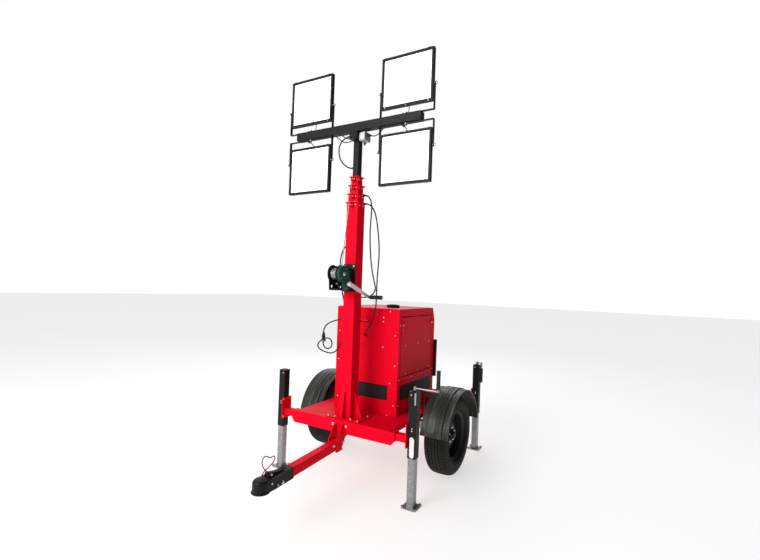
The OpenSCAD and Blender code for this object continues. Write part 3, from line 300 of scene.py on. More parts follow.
class Shape:
    """Collects vertices and faces of one piece and makes it an object."""

    def __init__(self):
        self.points = []
        self.faces = []
        self.slots = []
        self.smooth = []

    def add(self, points, faces, slot=0, smooth=True):
        start = len(self.points)
        self.points += points
        self.faces += [[start + i for i in face] for face in faces]
        self.slots += [slot] * len(faces)
        self.smooth += [smooth] * len(faces)

    def rings(self, rings, slot=0, caps=True, smooth=True):
        """A skin over rings of equal numbers of points, with flat ends unless caps is off."""
        n = len(rings[0])
        faces = []
        for a in range(0, (len(rings) - 1) * n, n):
            faces += [(a + k, a + (k + 1) % n, a + n + (k + 1) % n, a + n + k) for k in range(n)]
        self.add([p for ring in rings for p in ring], faces, slot, smooth)
        if caps:
            self.add(rings[0], [list(range(n))[::-1]], slot, False)
            self.add(rings[-1], [list(range(n))], slot, False)

    def turned(self, centre, axis, profile, n=32, slot=0, caps=True, smooth=True):
        """A profile of (radius, distance along the axis) turned round the axis."""
        axis = axis.normalized()
        side = axis.orthogonal().normalized()
        other = axis.cross(side)
        rings = []
        for radius, along in profile:
            rings.append([centre + axis * along + (side * math.cos(a) + other * math.sin(a)) * radius
                          for a in (math.tau * k / n for k in range(n))])
        self.rings(rings, slot, caps=caps, smooth=smooth)

    def rod(self, start, end, radius, n, slot=0):
        """A round bar with slightly broken edges."""
        length = (end - start).length
        edge = min(radius * 0.12, length * 0.2)
        self.turned(start, end - start, [(radius - edge, 0), (radius, edge), (radius, length - edge),
                                         (radius - edge, length)], n, slot)

    def box(self, low, high, slot=0, edge=0.0008):
        """A box with small chamfers."""
        middle, half = (low + high) / 2, (high - low) / 2
        e = min(edge, min(half) * 0.4)
        rings = []
        for z, inset in ((-half.z, e), (-half.z + e, 0), (half.z - e, 0), (half.z, e)):
            x, y = half.x - inset, half.y - inset
            corners = ((-x + e, -y, z), (x - e, -y, z), (x, -y + e, z), (x, y - e, z),
                       (x - e, y, z), (-x + e, y, z), (-x, y - e, z), (-x, -y + e, z))
            rings.append([middle + Vector(p) for p in corners])
        self.rings(rings, slot, smooth=False)

    def bolt(self, at, axis, size, slot=0, washer=True):
        """A hexagon head on a washer; at is on the surface, axis points away from it."""
        base = 0.0
        if washer:
            base = size * 0.2
            self.turned(at, axis, [(size * 1.15, 0), (size * 1.15, base * 0.7), (size * 1.05, base)], 20, slot)
        self.turned(at, axis, [(size * 0.92, base), (size * 0.92, base + size * 0.5),
                               (size * 0.78, base + size * 0.62)], 6, slot, smooth=False)
        self.turned(at, axis, [(size * 0.5, base + size * 0.5), (size * 0.5, base + size * 0.72),
                               (size * 0.4, base + size * 0.8)], 12, slot)

    def rivet(self, at, axis, size):
        """A low round head."""
        self.turned(at, axis, [(size, 0), (size * 0.92, size * 0.3), (size * 0.6, size * 0.55),
                               (size * 0.2, size * 0.62)], 12)

    def tube(self, path, radius, n):
        self.rings(tube_rings(path, radius, n))

    def make(self, name, body, *materials, slot, replaces=()):
        """The object; replaces names the CAD nodes that it stands for."""
        mesh = bpy.data.meshes.new(name)
        mesh.from_pydata([tuple(p) for p in self.points], [], self.faces)
        mesh.polygons.foreach_set("material_index", self.slots)
        mesh.polygons.foreach_set("use_smooth", self.smooth)
        for material in materials:
            mesh.materials.append(MATERIALS[material])
        mesh.validate()
        mesh.update()
        piece = bpy.data.objects.new(name, mesh)
        bpy.context.scene.collection.objects.link(piece)
        if body:
            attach(piece, body)
        if replaces:
            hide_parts(*replaces)
        return piece


def smooth_route(points, steps):
    """Points on the smooth curve through given points."""
    last = len(points) - 1
    route = []
    for i in range(last):
        a, b = points[max(i - 1, 0)], points[i]
        c, d = points[i + 1], points[min(i + 2, last)]
        for k in range(steps):
            t = k / steps
            route.append(0.5 * (2 * b + (c - a) * t + (2 * a - 5 * b + 4 * c - d) * t * t
                                + (3 * b - a - 3 * c + d) * t ** 3))
    return route + [points[-1]]


def relaxed(path, reach, step=0.004, held=4):
    """A route respaced evenly and bent no more than a stiff cable would be; both ends stay straight."""
    points = np.array([tuple(p) for p in path])
    along = np.concatenate(([0], np.cumsum(np.linalg.norm(np.diff(points, axis=0), axis=1))))
    count = max(12, int(along[-1] / step))
    at = np.linspace(0, along[-1], count + 1)
    even = np.stack([np.interp(at, along, points[:, k]) for k in range(3)], axis=1)
    second = np.zeros((count - 1, count + 1))
    for i in range(count - 1):
        second[i, i:i + 3] = (1, -2, 1)
    weight = np.ones(count + 1)
    weight[:held] = weight[-held:] = 1e6
    weight = np.diag(weight)
    calm = np.linalg.solve(weight + (reach / (along[-1] / count)) ** 4 * second.T @ second, weight @ even)
    return [Vector(p) for p in calm.tolist()]


def tube_rings(path, radius, n):
    """Rings of n points along a path, turned as little as possible from one to the next."""
    rings = []
    side = None
    for i, point in enumerate(path):
        ahead = (path[min(i + 1, len(path) - 1)] - path[max(i - 1, 0)]).normalized()
        side = ahead.orthogonal().normalized() if side is None else (side - ahead * side.dot(ahead)).normalized()
        other = ahead.cross(side)
        rings.append([point + (side * math.cos(a) + other * math.sin(a)) * radius
                      for a in (math.tau * k / n for k in range(n))])
    return rings


def row(*millimetres):
    """A place given as part.scad gives it, in millimetres from the foot of the mast's axis."""
    x, y, z = millimetres
    return Vector((x / 1000, y / 1000 + MAST_Y, z / 1000))


# Cords

CABLE_R = 0.005
MAST_CABLE = ((-8, 221.5, 1086), (-8, 198, 1086), (12, 170, 1100), (52, 152, 1144), (90, 150, 1206),
              (114, 152, 1290), (120, 152, 1360), (120, 152, 1435), (136, 130, 1560), (156, 110, 1700), (160, 98, 1796),
              (154, 80, 1920), (150, 52, 2010), (140, 18, 2070), (114, 2, 2097), (96, 0, 2098), (72.6, 0, 2098))
UPPER_CABLE = ((20, 50.5, 1392), (20, 72, 1392), (26, 108, 1388), (48, 146, 1394), (84, 164, 1418),
               (106, 158, 1462), (98, 138, 1530), (86, 116, 1650), (80, 100, 1780), (84, 84, 1920),
               (104, 62, 2040), (118, 30, 2116), (110, 6, 2154), (90, 0, 2162), (66.5, 0, 2162))
POST_CABLE = ((-33.5, -60, 2606), (-52, -60, 2606), (-80, -72, 2592), (-98, -94, 2550), (-102, -104, 2495),
              (-98, -92, 2438), (-84, -54, 2400), (-64, -20, 2382), (-46, -8, 2380), (-25.5, -8, 2380))
SIDE_LEAD = ((-50.5, 30, 1800), (-68, 30, 1800), (-98, 25, 1784), (-116, 10, 1738), (-120, -8, 1660),
             (-114, -12, 1560), (-102, -10, 1480), (-88, -4, 1400), (-78, 8, 1330), (-82, 28, 1268),
             (-112, 46, 1226), (-170, 54, 1204), (-234, 50, 1182), (-275, 47, 1154), (-294, 46, 1126),
             (-298, 46, 1100.4))
LEAD_TAIL = ((-298, 46, 1019.6), (-298, 46, 1004), (-288, 48, 978), (-262, 52, 962), (-228, 56, 976),
             (-217, 60, 1008), (-234, 64, 1040), (-264, 70, 1052), (-306, 74, 1042), (-346, 70, 1022),
             (-370, 60, 992), (-350, 48, 966), (-304, 40, 954), (-262, 36, 944), (-215, 36, 938),
             (-168, 38, 954), (-140, 42, 990), (-124, 46, 1030), (-98, 46, 1054), (-68, 46, 1058), (-50.5, 46, 1058))
BAR_CABLES = {
    "bar_cable_right": ((87.6, 0, 2616), (106, 0, 2613), (140, 2, 2600), (172, 4, 2606), (198, 2, 2636),
                        (226, -2, 2660), (290, -4, 2663), (360, -4, 2661), (400, -6, 2662), (418, -10.8, 2664)),
    "bar_cable_left": ((-33.5, 4, 2600), (-50, 4, 2599), (-90, 4, 2590), (-140, 4, 2596), (-184, 2, 2628),
                       (-214, -2, 2658), (-290, -4, 2663), (-360, -4, 2661), (-400, -6, 2662), (-418, -10.8, 2664)),
    "box_cable_left": ((-33.5, 18, 2626), (-50, 18, 2625), (-84, 14, 2614), (-124, 8, 2626), (-156, 2, 2656),
                       (-186, -3, 2676), (-240, -4, 2679), (-300, -4, 2678), (-330, -6, 2679), (-348, -10.8, 2680)),
}


def cord_piece(name, points, body, steps, radius=CABLE_R, node=None, blend=None,
               reach=0.027):
    """A rubber-sheathed cable; node is the CAD cable that it replaces."""
    path = relaxed(smooth_route([row(*p) for p in points], steps), reach)
    shape = Shape()
    shape.tube(path, radius, 12)
    piece = shape.make(name, body, "cable_rubber", slot="cable_rubber", replaces=(node,) if node else ())
    if blend:
        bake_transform(piece)


def gland(shape, at, axis, radius=CABLE_R, slot=0):
    """A cable gland: hexagon, cap and tapered boot round a cable that leaves along axis."""
    shape.turned(at, axis, [(radius + 0.006, 0), (radius + 0.006, 0.004)], 6, slot, smooth=False)
    shape.turned(at, axis, [(radius + 0.0048, 0.004), (radius + 0.0048, 0.009), (radius + 0.0038, 0.0105),
                            (radius + 0.0026, 0.0115), (radius + 0.0012, 0.026), (radius + 0.0003, 0.028)], 20, slot)


def make_cords():
    """All cables with their glands, ties and clips, and the side lead's plug."""
    plug = Shape()
    at = row(-298, 46, 1019)
    plug.turned(at, Z, [(0.0055, 0), (0.0075, 0.001), (0.0092, 0.003), (0.0175, 0.004), (0.018, 0.006), (0.018, 0.020),
                        (0.0172, 0.022), (0.0128, 0.023), (0.0128, 0.060), (0.0118, 0.064), (0.0095, 0.066),
                        (0.0075, 0.080), (0.0056, 0.081)], 32)
    for k in range(10):
        a = math.tau * k / 10
        out = Vector((math.cos(a), math.sin(a), 0))
        plug.rod(at + out * 0.0126 + Z * 0.026, at + out * 0.0126 + Z * 0.058, 0.0011, 8)
    plug.turned(at, Z, [(0.0181, 0.009), (0.0184, 0.010), (0.0184, 0.013), (0.0181, 0.014)], 32, 1, caps=False)
    plug = plug.make("lead_plug", "frame", "black_plastic", "label_grey", slot="black_plastic", replaces=("side_plug",))
    cord_piece("mast_cable_run", MAST_CABLE, "frame", 8, node="mast_cable")
    cord_piece("upper_cable_run", UPPER_CABLE, None, 8, node="mast_cable_upper",
               blend=("frame", "mast_2", row(0, 0, 1460), row(0, 0, 2110)))
    cord_piece("post_cable_run", POST_CABLE, "mast_head", 8, node="post_cable")
    cord_piece("side_lead_run", SIDE_LEAD, "frame", 8, node="side_lead")
    cord_piece("side_lead_tail", LEAD_TAIL, "frame", 6, node="side_lead")
    for name, points in BAR_CABLES.items():
        cord_piece(name, points, "mast_head", 8, 0.004)
    fixed = Shape()
    for at, axis in (((-8, 222, 1086), -Y), ((72.2, 0, 2098), X), ((20, 50, 1392), Y), ((-50, 30, 1800), -X),
                     ((-50, 46, 1058), -X)):
        gland(fixed, row(*at), axis)
    # A tie that holds the two mast cables together near the crank
    fixed.turned(row(112, 156, 1446), Z, [(0.0185, -0.002), (0.0192, -0.0015), (0.0192, 0.0015), (0.0185, 0.002)], 24)
    fixed.make("mast_glands", "frame", "black_plastic", slot="black_plastic")
    rising = Shape()
    gland(rising, row(66.2, 0, 2162), X)
    rising.make("stage_gland", "mast_2", "black_plastic", slot="black_plastic")
    head = Shape()
    for at, axis in (((-33.2, -60, 2606), -X), ((-25.2, -8, 2380), -X), ((87.3, 0, 2616), X), ((-33.2, 4, 2600), -X),
                     ((-33.2, 18, 2626), -X)):
        gland(head, row(*at), axis, 0.0045)
    for x, z in ((290, 2663), (360, 2661), (-290, 2663), (-360, 2661)):
        head.box(row(x - 2.5, -11, z - 7), row(x + 2.5, 1.5, z + 7))
    head.make("head_glands", "mast_head", "black_plastic", slot="black_plastic")


# Wheels

TYRE_HALF = 0.092
WHEEL_X, AXLE_Y, AXLE_Z = 575, 600, 310
PITCHES = 74                    # tread blocks round the tyre


def tyre_profile():
    """Across the tyre, from the inner bead to the outer: (side distance, radius, share of a block's depth)."""
    half = [(0.000, 0.3088, 1), (0.0105, 0.3088, 1), (0.0112, 0.3025, 0), (0.0168, 0.3025, 0), (0.0175, 0.3086, 1),
            (0.0345, 0.3080, 1), (0.0352, 0.3016, 0), (0.0418, 0.3014, 0), (0.0425, 0.3074, 1), (0.056, 0.3058, 1),
            (0.0655, 0.3020, 1), (0.0725, 0.2975, 1), (0.0775, 0.2925, 0.6), (0.0805, 0.2880, 0), (0.0812, 0.2870, 0),
            (0.0850, 0.2790, 0), (0.0856, 0.2776, 0), (0.0866, 0.2768, 0), (0.0898, 0.2620, 0), (0.0916, 0.2460, 0),
            (0.0912, 0.2300, 0), (0.0920, 0.2290, 0), (0.0914, 0.2272, 0), (0.0885, 0.2130, 0), (0.0840, 0.2030, 0),
            (0.0780, 0.1985, 0), (0.0700, 0.1960, 0), (0.0650, 0.1905, 0)]
    return [(-x, r, d) for x, r, d in half[:0:-1]] + half


def tread_cut(x, t, depth):
    """How deep the tread is cut at a place across the tyre and a share t of one pitch."""
    shoulder = abs(x) > 0.0422
    cut = (0.30 <= t < 0.52) if shoulder else (0.36 <= t < 0.46)
    return depth * (0.006 if shoulder else 0.0045) if cut else 0.0


def make_tyre(side, sign):
    """A road tyre whose ribs, sipes and shoulder blocks are cut in the mesh."""
    profile = tyre_profile()
    centre = row(sign * WHEEL_X, AXLE_Y, AXLE_Z)
    shape = Shape()
    rings = []
    for i in range(PITCHES):
        for t in (0.0, 0.295, 0.305, 0.355, 0.365, 0.455, 0.465, 0.515, 0.525):
            ring = []
            for x, r, depth in profile:
                slant = 0.9 * abs(x) / TYRE_HALF + (0.5 if x < 0 else 0)
                angle = math.tau * (i + t + slant) / PITCHES
                radius = r - tread_cut(x, t, depth)
                ring.append(centre + Vector((sign * x, math.cos(angle) * radius, math.sin(angle) * radius)))
            rings.append(ring if sign > 0 else ring[::-1])
    n, last = len(profile), len(rings)
    faces = [(i * n + k, i * n + k + 1, (i + 1) % last * n + k + 1, (i + 1) % last * n + k)
             for i in range(last) for k in range(n - 1)]
    # The beads close the tyre along the rim
    faces += [(i * n, (i + 1) % last * n, (i + 1) % last * n + n - 1, i * n + n - 1) for i in range(last)]
    shape.add([p for ring in rings for p in ring], faces, 0, False)
    piece = shape.make("road_tyre_" + side, "wheel_" + side, "tyre_rubber", slot="tyre_rubber",
                       replaces=("tyre_" + side,))
    mesh = piece.data
    # Only the side walls are shaded smooth
    smooth = [abs(face.center.x - centre.x) > 0.0775 for face in mesh.polygons]
    mesh.polygons.foreach_set("use_smooth", smooth)


def make_wheel_fixings(side, sign):
    """Zinc cone nuts, a grease cap and a valve on the wheel's outer side."""
    centre = row(sign * WHEEL_X, AXLE_Y, AXLE_Z)
    out = X * sign
    shape = Shape()
    for k in range(5):
        a = math.radians(18 + 72 * k)
        at = centre + out * 0.0281 + Vector((0, math.cos(a), math.sin(a))) * 0.056
        shape.turned(at - out * 0.004, out, [(0.0118, 0), (0.0118, 0.0050), (0.0098, 0.0078)], 6, smooth=False)
        shape.turned(at, out, [(0.0062, 0), (0.0062, 0.0095), (0.0050, 0.0105)], 16)
    shape.turned(centre, out, [(0.0345, 0.018), (0.0352, 0.022), (0.0345, 0.034), (0.0275, 0.0385), (0.0262, 0.052),
                               (0.0225, 0.0572), (0.012, 0.0590), (0.002, 0.0592)], 40, 1, caps=False)
    a = math.radians(54)
    foot = centre + Vector((0, math.cos(a), math.sin(a))) * 0.158 + out * 0.004
    shape.rod(foot - out * 0.012, foot + out * 0.020, 0.0042, 12, 2)
    shape.rod(foot + out * 0.020, foot + out * 0.030, 0.0034, 12, 2)
    shape.make("wheel_nuts_" + side, "wheel_" + side, "zinc", "dark_steel", "cable_rubber", slot="galvanised_steel")


# Lamps

LAMP_X, LAMP_W, LAMP_H = 431, 410, 373
TBAR_Z, TBAR_HALF, LAMP_GAP, TBAR_Y = 2673, 31, 61, -42
PIVOT = 64.5                    # from a lamp's middle to its tilt axis


def make_lamp(name, sign, up):
    """The reflector, bright with a painted glow, and its lamp tube, the rim's clips, and the fixings of the housing's
    back.
    """
    cx, cz = sign * LAMP_X, TBAR_Z + up * (TBAR_HALF + LAMP_GAP + LAMP_H / 2)
    body = "lamp_" + name

    def ring(half_w, half_h, y, r=6):
        points = []
        for sx, sz, start in ((1, 1, 0), (-1, 1, 90), (-1, -1, 180), (1, -1, 270)):
            for k in range(4):
                a = math.radians(start + 30 * k)
                points.append(row(cx + sx * (half_w - r) + r * math.cos(a), y,
                                  cz + sz * (half_h - r) + r * math.sin(a)))
        return points

    # The reflector's white inside glows with painted light
    bright = Shape()
    w, h = LAMP_W / 2 - 17.6, LAMP_H / 2 - 17.6
    steps = [(w, h, -47.5), (w, h, -29), (w - 3, h - 3, -27.5), (w - 26, h - 24, -10), (w - 29, h - 27, -9),
             (w - 52, h - 48, 9), (w - 55, h - 51, 10), (w - 76, h - 72, 25.5)]
    bright.rings([ring(*s) for s in steps][::-1], caps=False, smooth=False)
    bright.add(ring(*steps[-1]), [list(range(16))], smooth=False)
    # The discharge lamp and its two holders
    bright.turned(row(cx - 62, 4, cz), X, [(0.004, 0), (0.009, 0.006), (0.0115, 0.014), (0.0115, 0.110), (0.009, 0.118),
                                           (0.004, 0.124)], 20, 1)
    for s in (-1, 1):
        bright.box(row(cx + s * 74 - 12, -8, cz - 12), row(cx + s * 74 + 12, 26, cz + 12), 2)
    bright.make("reflector_" + name, body, "reflector_painted_glow", "lamp_glow", "label_white", slot="lamp_glass")

    trim = Shape()
    edge_z = cz - up * LAMP_H / 2
    for x in (cx - 172, cx, cx + 172):
        low, high = sorted((edge_z - up * 2.2, edge_z + up * 8))
        trim.box(row(x - 9, -58.6, low), row(x + 9, -30, high), 2)
        trim.bolt(row(x, -58.6, edge_z + up * 3.6), -Y, 0.0036, washer=False)
    for x in (cx - 172, cx + 172):
        low, high = sorted((edge_z + up * (LAMP_H + 2.2), edge_z + up * (LAMP_H - 8)))
        trim.box(row(x - 9, -58.6, low), row(x + 9, -30, high), 2)
    for sx in (-1, 1):
        for sz in (-1, 1):
            trim.bolt(row(cx + sx * 52, 63, cz + sz * 37), Y, 0.0045)
    for s in (-1, 1):
        trim.bolt(row(cx + s * 223.2, TBAR_Y, cz - up * PIVOT), X * s, 0.0085)
    gland(trim, row(cx - 27, 48, cz - up * 45), -Z * up, 0.003, 1)
    trim.make("lamp_trim_" + name, body, "zinc", "black_plastic", "black_paint", slot="galvanised_steel")

    # The lead from the housing's rear box to the yoke's foot
    foot = TBAR_Z + up * (TBAR_HALF + 4.4)
    lead_x = cx - 27
    points = [(lead_x, 48, cz - up * 45.4), (lead_x, 48, cz - up * 62), (lead_x, 48, cz - up * 110),
              (lead_x, 47, cz - up * 155), (lead_x, 45, cz - up * 186), (lead_x, 38, cz - up * 208),
              (lead_x, 24, cz - up * 226), (lead_x, 4, cz - up * 235.5), (lead_x, -12, cz - up * 237.5),
              (lead_x, -29.5, cz - up * 237.5)]
    cord_piece("lamp_lead_" + name, points, None, 5, 0.003,
               blend=("yoke_" + name, body, row(cx, 0, foot + up * 4), row(cx, 0, cz - up * 150)), reach=0.016)
    yoke = Shape()
    low, high = sorted((foot, foot + up * 11.5))
    yoke.box(row(lead_x - 6, -46, low), row(lead_x + 6, -30.5, high), 1, edge=0.0015)
    gland(yoke, row(lead_x, -30.6, foot + up * 5.6), Y, 0.003, 1)
    yoke.turned(row(cx, TBAR_Y, foot), Z * up, [(0.0155, 0), (0.0155, 0.0015), (0.0148, 0.002)], 28)
    yoke.bolt(row(cx, TBAR_Y, foot + up * 7.9), Z * up, 0.0092, washer=False)
    for s in (-1, 1):
        yoke.turned(row(cx + s * 215.2, TBAR_Y, cz - up * PIVOT), X * s,
                    [(0.012, 0), (0.0122, 0.0006), (0.012, 0.0012)], 24)
    yoke.make("yoke_fixings_" + name, "yoke_" + name, "zinc", "black_plastic", slot="galvanised_steel")


def make_head():
    """End caps and nuts of the T-bar, and the junction box's lid."""
    caps = Shape()
    for s in (-1, 1):
        x0, x1 = sorted((s * 553.5, s * 557))
        caps.box(row(x0, -72.6, 2642.4), row(x1, -11.4, 2703.6), edge=0.003)
    caps.make("bar_caps", "mast_head", "black_plastic", slot="black_plastic")
    nuts = Shape()
    for x, z in ((-18, 2596), (18, 2596), (-18, 2628), (18, 2628)):
        nuts.bolt(row(x, -73, z), -Y, 0.0065)
    nuts.make("saddle_bolts", "mast_head", "black_paint", slot="black_paint")
    lid = Shape()
    lid.box(row(34.5, -41.5, 2578), row(86, -38.5, 2634), edge=0.002)
    lid.box(row(36, -44.5, 2580), row(84.5, -41.5, 2632), edge=0.0015)
    for x in (41, 79.5):
        for z in (2585, 2627):
            lid.bolt(row(x, -44.5, z), -Y, 0.003, 1, washer=False)
    lid.turned(row(60.3, 0, 2565), -Z, [(0.0095, -0.001), (0.0095, 0.008), (0.007, 0.011), (0.0052, 0.02)], 20, 2)
    lid.make("junction_lid", "mast_head", "grey_box", "zinc", "black_plastic", slot="grey_box")


# Mast and winch

# Each mast tube's body, width and upper end
STAGES = (("frame", 100, 2110), ("mast_2", 88, 2176), ("mast_3", 76, 2242), ("mast_4", 64, 2308))


def make_mast_fixings():
    """Guide pads, collar screws and pulley pins of each stage, and the foot's bolts and weld beads."""
    for number, (body, width, top) in enumerate(STAGES, 1):
        shape = Shape()
        # The guide pads stand round the next tube, which is 12 mm narrower, and round the 50 mm post
        inner = (width - 12 if number < 4 else 50) / 2 + 0.4
        for a in range(4):
            turn = Matrix.Rotation(math.radians(90 * a), 3, "Z")
            for s in (-1, 1):
                at = turn @ Vector((inner + 4, s * inner * 0.55, 0))
                half = Vector([abs(c) for c in turn @ Vector((0.0034, 0.007, 0))])
                shape.box(row(at.x, at.y, top) - half, row(at.x, at.y, top) + half + Z * 0.003, 1)
            for s in (-1, 1):
                side = turn @ Vector((width / 2 + 0.05, s * width * 0.27, 0))
                shape.bolt(row(side.x, side.y, top - 22), turn @ X, 0.0048)
        # The ends of the pulley's pin, then its bright sheave, on both of its sides
        y = -width / 2 - 23
        for x, n, profile in ((13, 20, [(0.0058, 0), (0.0058, 0.0012), (0.0048, 0.0028), (0.001, 0.003)]),
                              (6, 32, [(0.0165, 0.0001), (0.0165, 0.0006), (0.011, 0.0009), (0.0105, 0.0005)])):
            for s in (-1, 1):
                shape.turned(row(s * x, y, top - 25), X * s, profile, n)
        shape.make("stage_fixings_%d" % number, body, "zinc", "label_white", slot="galvanised_steel")
    foot = Shape()
    for x in (-131, -70, 70, 131):
        for y in (-70, 70):
            foot.bolt(row(x, y, 490), Z, 0.008)
    for s in (-1, 1):
        foot.bolt(row(s * 11, 196, 1203), Z, 0.005)
    for x, y in ((222, 222), (-222, 222), (278, 265), (-278, 265)):
        foot.bolt(row(x, y - 20, 484), Z, 0.0065)
    for x in (-400, -200, 200, 400):
        foot.bolt(row(x, 1225, 484), Z, 0.006)
    foot.make("deck_bolts", "frame", "zinc", slot="galvanised_steel")
    weld = Shape()
    for s in (-1, 1):
        weld.tube([row(s * 50.5, -50, 490.5), row(s * 50.5, 50, 490.5)], 0.0035, 8)
        weld.tube([row(-50, s * 50.5, 490.5), row(50, s * 50.5, 490.5)], 0.0035, 8)
        for g in (-3.6, 3.6):
            for start, end in (((s * 52, g, 490.6), (s * 118, g, 490.6)), ((s * 50.6, g, 492), (s * 50.6, g, 672)),
                               ((g, s * 52, 490.6), (g, s * 84, 490.6)), ((g, s * 50.6, 492), (g, s * 50.6, 672))):
                weld.tube([row(*start), row(*end)], 0.0025, 6)
    weld.make("mast_welds", "frame", "red_paint", slot="red_paint")


DRUM_Y, DRUM_Z, SPINDLE_Y, SPINDLE_Z = -200, 1560, -153, 1488
CASE_X = 56                     # outer face of the winch's gear case
ARM = 280                       # from the spindle to the grip


def make_winch_fixings():
    """Bolts of the winch's frame and gear case, the rope's clamp on the drum, and the crank's grip and nut."""
    shape = Shape()
    for y, z in ((DRUM_Y + 30, DRUM_Z + 38), (DRUM_Y - 34, DRUM_Z - 30), (SPINDLE_Y - 18, SPINDLE_Z - 30)):
        shape.bolt(row(CASE_X, y, z), X, 0.0048, washer=False)
    shape.turned(row(CASE_X, DRUM_Y, DRUM_Z), X, [(0.015, 0), (0.015, 0.003), (0.012, 0.006), (0.002, 0.007)], 28)
    shape.turned(row(-52, DRUM_Y, DRUM_Z), -X, [(0.0135, 0), (0.0135, 0.004), (0.009, 0.007), (0.001, 0.0075)], 28)
    shape.bolt(row(-68, -116, SPINDLE_Z + 30), -X, 0.0068, washer=False)
    for s in (-1, 1):
        shape.bolt(row(s * 40, -56, 1624), -Y, 0.0075)
    shape.bolt(row(-44, DRUM_Y - 22, DRUM_Z + 44), -X, 0.004, washer=False)
    shape.box(row(-49.9, DRUM_Y - 50, DRUM_Z - 3.2), row(-47.2, DRUM_Y - 34, DRUM_Z + 3.2))
    shape.make("winch_fixings", "frame", "zinc", slot="galvanised_steel")

    # The crank's arm lies outside the gear case and slopes down to its grip
    lean = math.radians(19.6)
    arm_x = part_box("winch_gear_case")[1].x * 1000 + 18
    end = row(arm_x, SPINDLE_Y + ARM * math.cos(lean), SPINDLE_Z - ARM * math.sin(lean))
    grip = Shape()
    profile = [(0.0095, 0.0118), (0.0128, 0.0123), (0.0156, 0.0155), (0.0162, 0.019)]
    for k in range(9):
        at = 0.024 + 0.0098 * k
        waist = 0.0158 - 0.0005 * math.sin(math.pi * k / 8)
        profile += [(waist, at), (waist, at + 0.0062), (waist - 0.0009, at + 0.0070), (waist - 0.0009, at + 0.0088)]
    profile += [(0.0162, 0.1145), (0.0158, 0.1195), (0.0130, 0.1228), (0.0065, 0.1232)]
    grip.turned(end, X, profile, 32)
    grip.bolt(end + X * 0.126, X, 0.0058, 1)
    grip.bolt(row(arm_x + 7, SPINDLE_Y, SPINDLE_Z), X, 0.0105, 1)
    grip.make("crank_grip", "frame", "black_plastic", "zinc", slot="black_plastic")


# Jacks

JACK_X, JACK_TOP = 587, 780
JACK_Y = {"front": -73, "rear": 1257}


def make_jack(corner):
    """Bolts and rivets, blank labels on the front right jack, and the crank's grip where there is one."""
    end, side = corner.split("_")
    s = 1 if side == "right" else -1
    y = JACK_Y[end]
    body = "outrigger_" + corner
    bolts = Shape()
    for dy in (-41, 41):
        for z in (416, 551):
            bolts.bolt(row(s * 551, y + dy, z), -X * s, 0.0062)
    for z in (425, 440):
        bolts.bolt(row(s * JACK_X, y - 30, z + 90), -Y, 0.0045)
    bolts.bolt(row(s * (JACK_X - 12), y - 30, JACK_TOP - 24), -Y, 0.0048)
    for sx in (-1, 1):
        for sy in (-1, 1):
            bolts.rivet(row(s * JACK_X + sx * 20, y + sy * 20, JACK_TOP), Z, 0.0035)
    bolts.make("jack_bolts_" + corner, body, "zinc", slot="galvanised_steel")

    if corner == "front_left":
        return
    if corner == "front_right":
        labels = Shape()
        labels.box(row(JACK_X + 13, y - 30.5, 690), row(JACK_X + 25, y - 29.9, 772), 1, edge=0.0002)
        oval = []
        for z, start in ((353, 180), (458, 0)):
            for k in range(13):
                a = math.radians(start + 15 * k)
                oval.append((3 + 17 * math.cos(a), z + 17 * math.sin(a)))
        labels.rings([[row(JACK_X + x, y - depth, z) for x, z in oval] for depth in (29.9, 30.9)], smooth=False)
        labels.make("jack_labels_" + corner, body, "label_white", "label_grey", slot="grey_box")
    crank_z = JACK_TOP + 6.3
    grip = Shape()
    if corner == "rear_right":
        at, length, radius = row(s * (JACK_X + 44), y, crank_z - 160.6), 0.1252, 0.0124
    else:
        at, length, radius = row(s * (JACK_X + 168), y, crank_z + 27.6), 0.1248, 0.0134
    profile = [(radius * 0.7, -0.0004), (radius, 0.0002), (radius + 0.0012, 0.003), (radius + 0.0012, 0.008)]
    for k in range(9):
        z = 0.012 + 0.0115 * k
        profile += [(radius, z), (radius, z + 0.0070), (radius - 0.0001, z + 0.0078), (radius - 0.0001, z + 0.0106)]
    profile += [(radius + 0.0012, length - 0.008), (radius + 0.0010, length - 0.003), (radius * 0.7, length)]
    grip.turned(at, Z, profile, 28)
    grip.bolt(row(s * JACK_X, y, crank_z + 18), Z, 0.0075, 1)
    grip.make("jack_grip_" + corner, body, "black_plastic", "zinc", slot="black_plastic")


# Canopy

CANOPY_HALF, CANOPY_FRONT, CANOPY_REAR, CANOPY_TOP = 292.5, 222, 903, 1307
HINGE_X = 295.1                 # outer face of the doors' hinge leaves


def grille(shape, low, high, axis, pitch=0.0085, rim=0.007, shade_sheet=0.0006):
    """A dark panel of upright bars in a frame over an opening, on a black backing sheet that is painted shade for the
    inside; axis is the way it faces.
    """
    across = 0 if abs(axis.y) > 0.5 else 1
    span = high[across] - low[across]
    count = int(span / pitch)

    def part(index, start, end):
        a, b = low.copy(), high.copy()
        a[index], b[index] = start, end
        return a, b

    for k in range(count):
        shape.box(*part(across, low[across] + span * (k + 0.18) / count, low[across] + span * (k + 0.82) / count))
    # The backing sheet is painted shade: a black sheet where the opening would show only the shade inside
    face = 1 - across
    if axis[face] > 0:
        shape.box(*part(face, low[face], low[face] + shade_sheet), edge=0.0001)
    else:
        shape.box(*part(face, high[face] - shade_sheet, high[face]), edge=0.0001)
    for index in (2, across):
        shape.box(*part(index, low[index], low[index] + rim))
        shape.box(*part(index, high[index] - rim, high[index]))


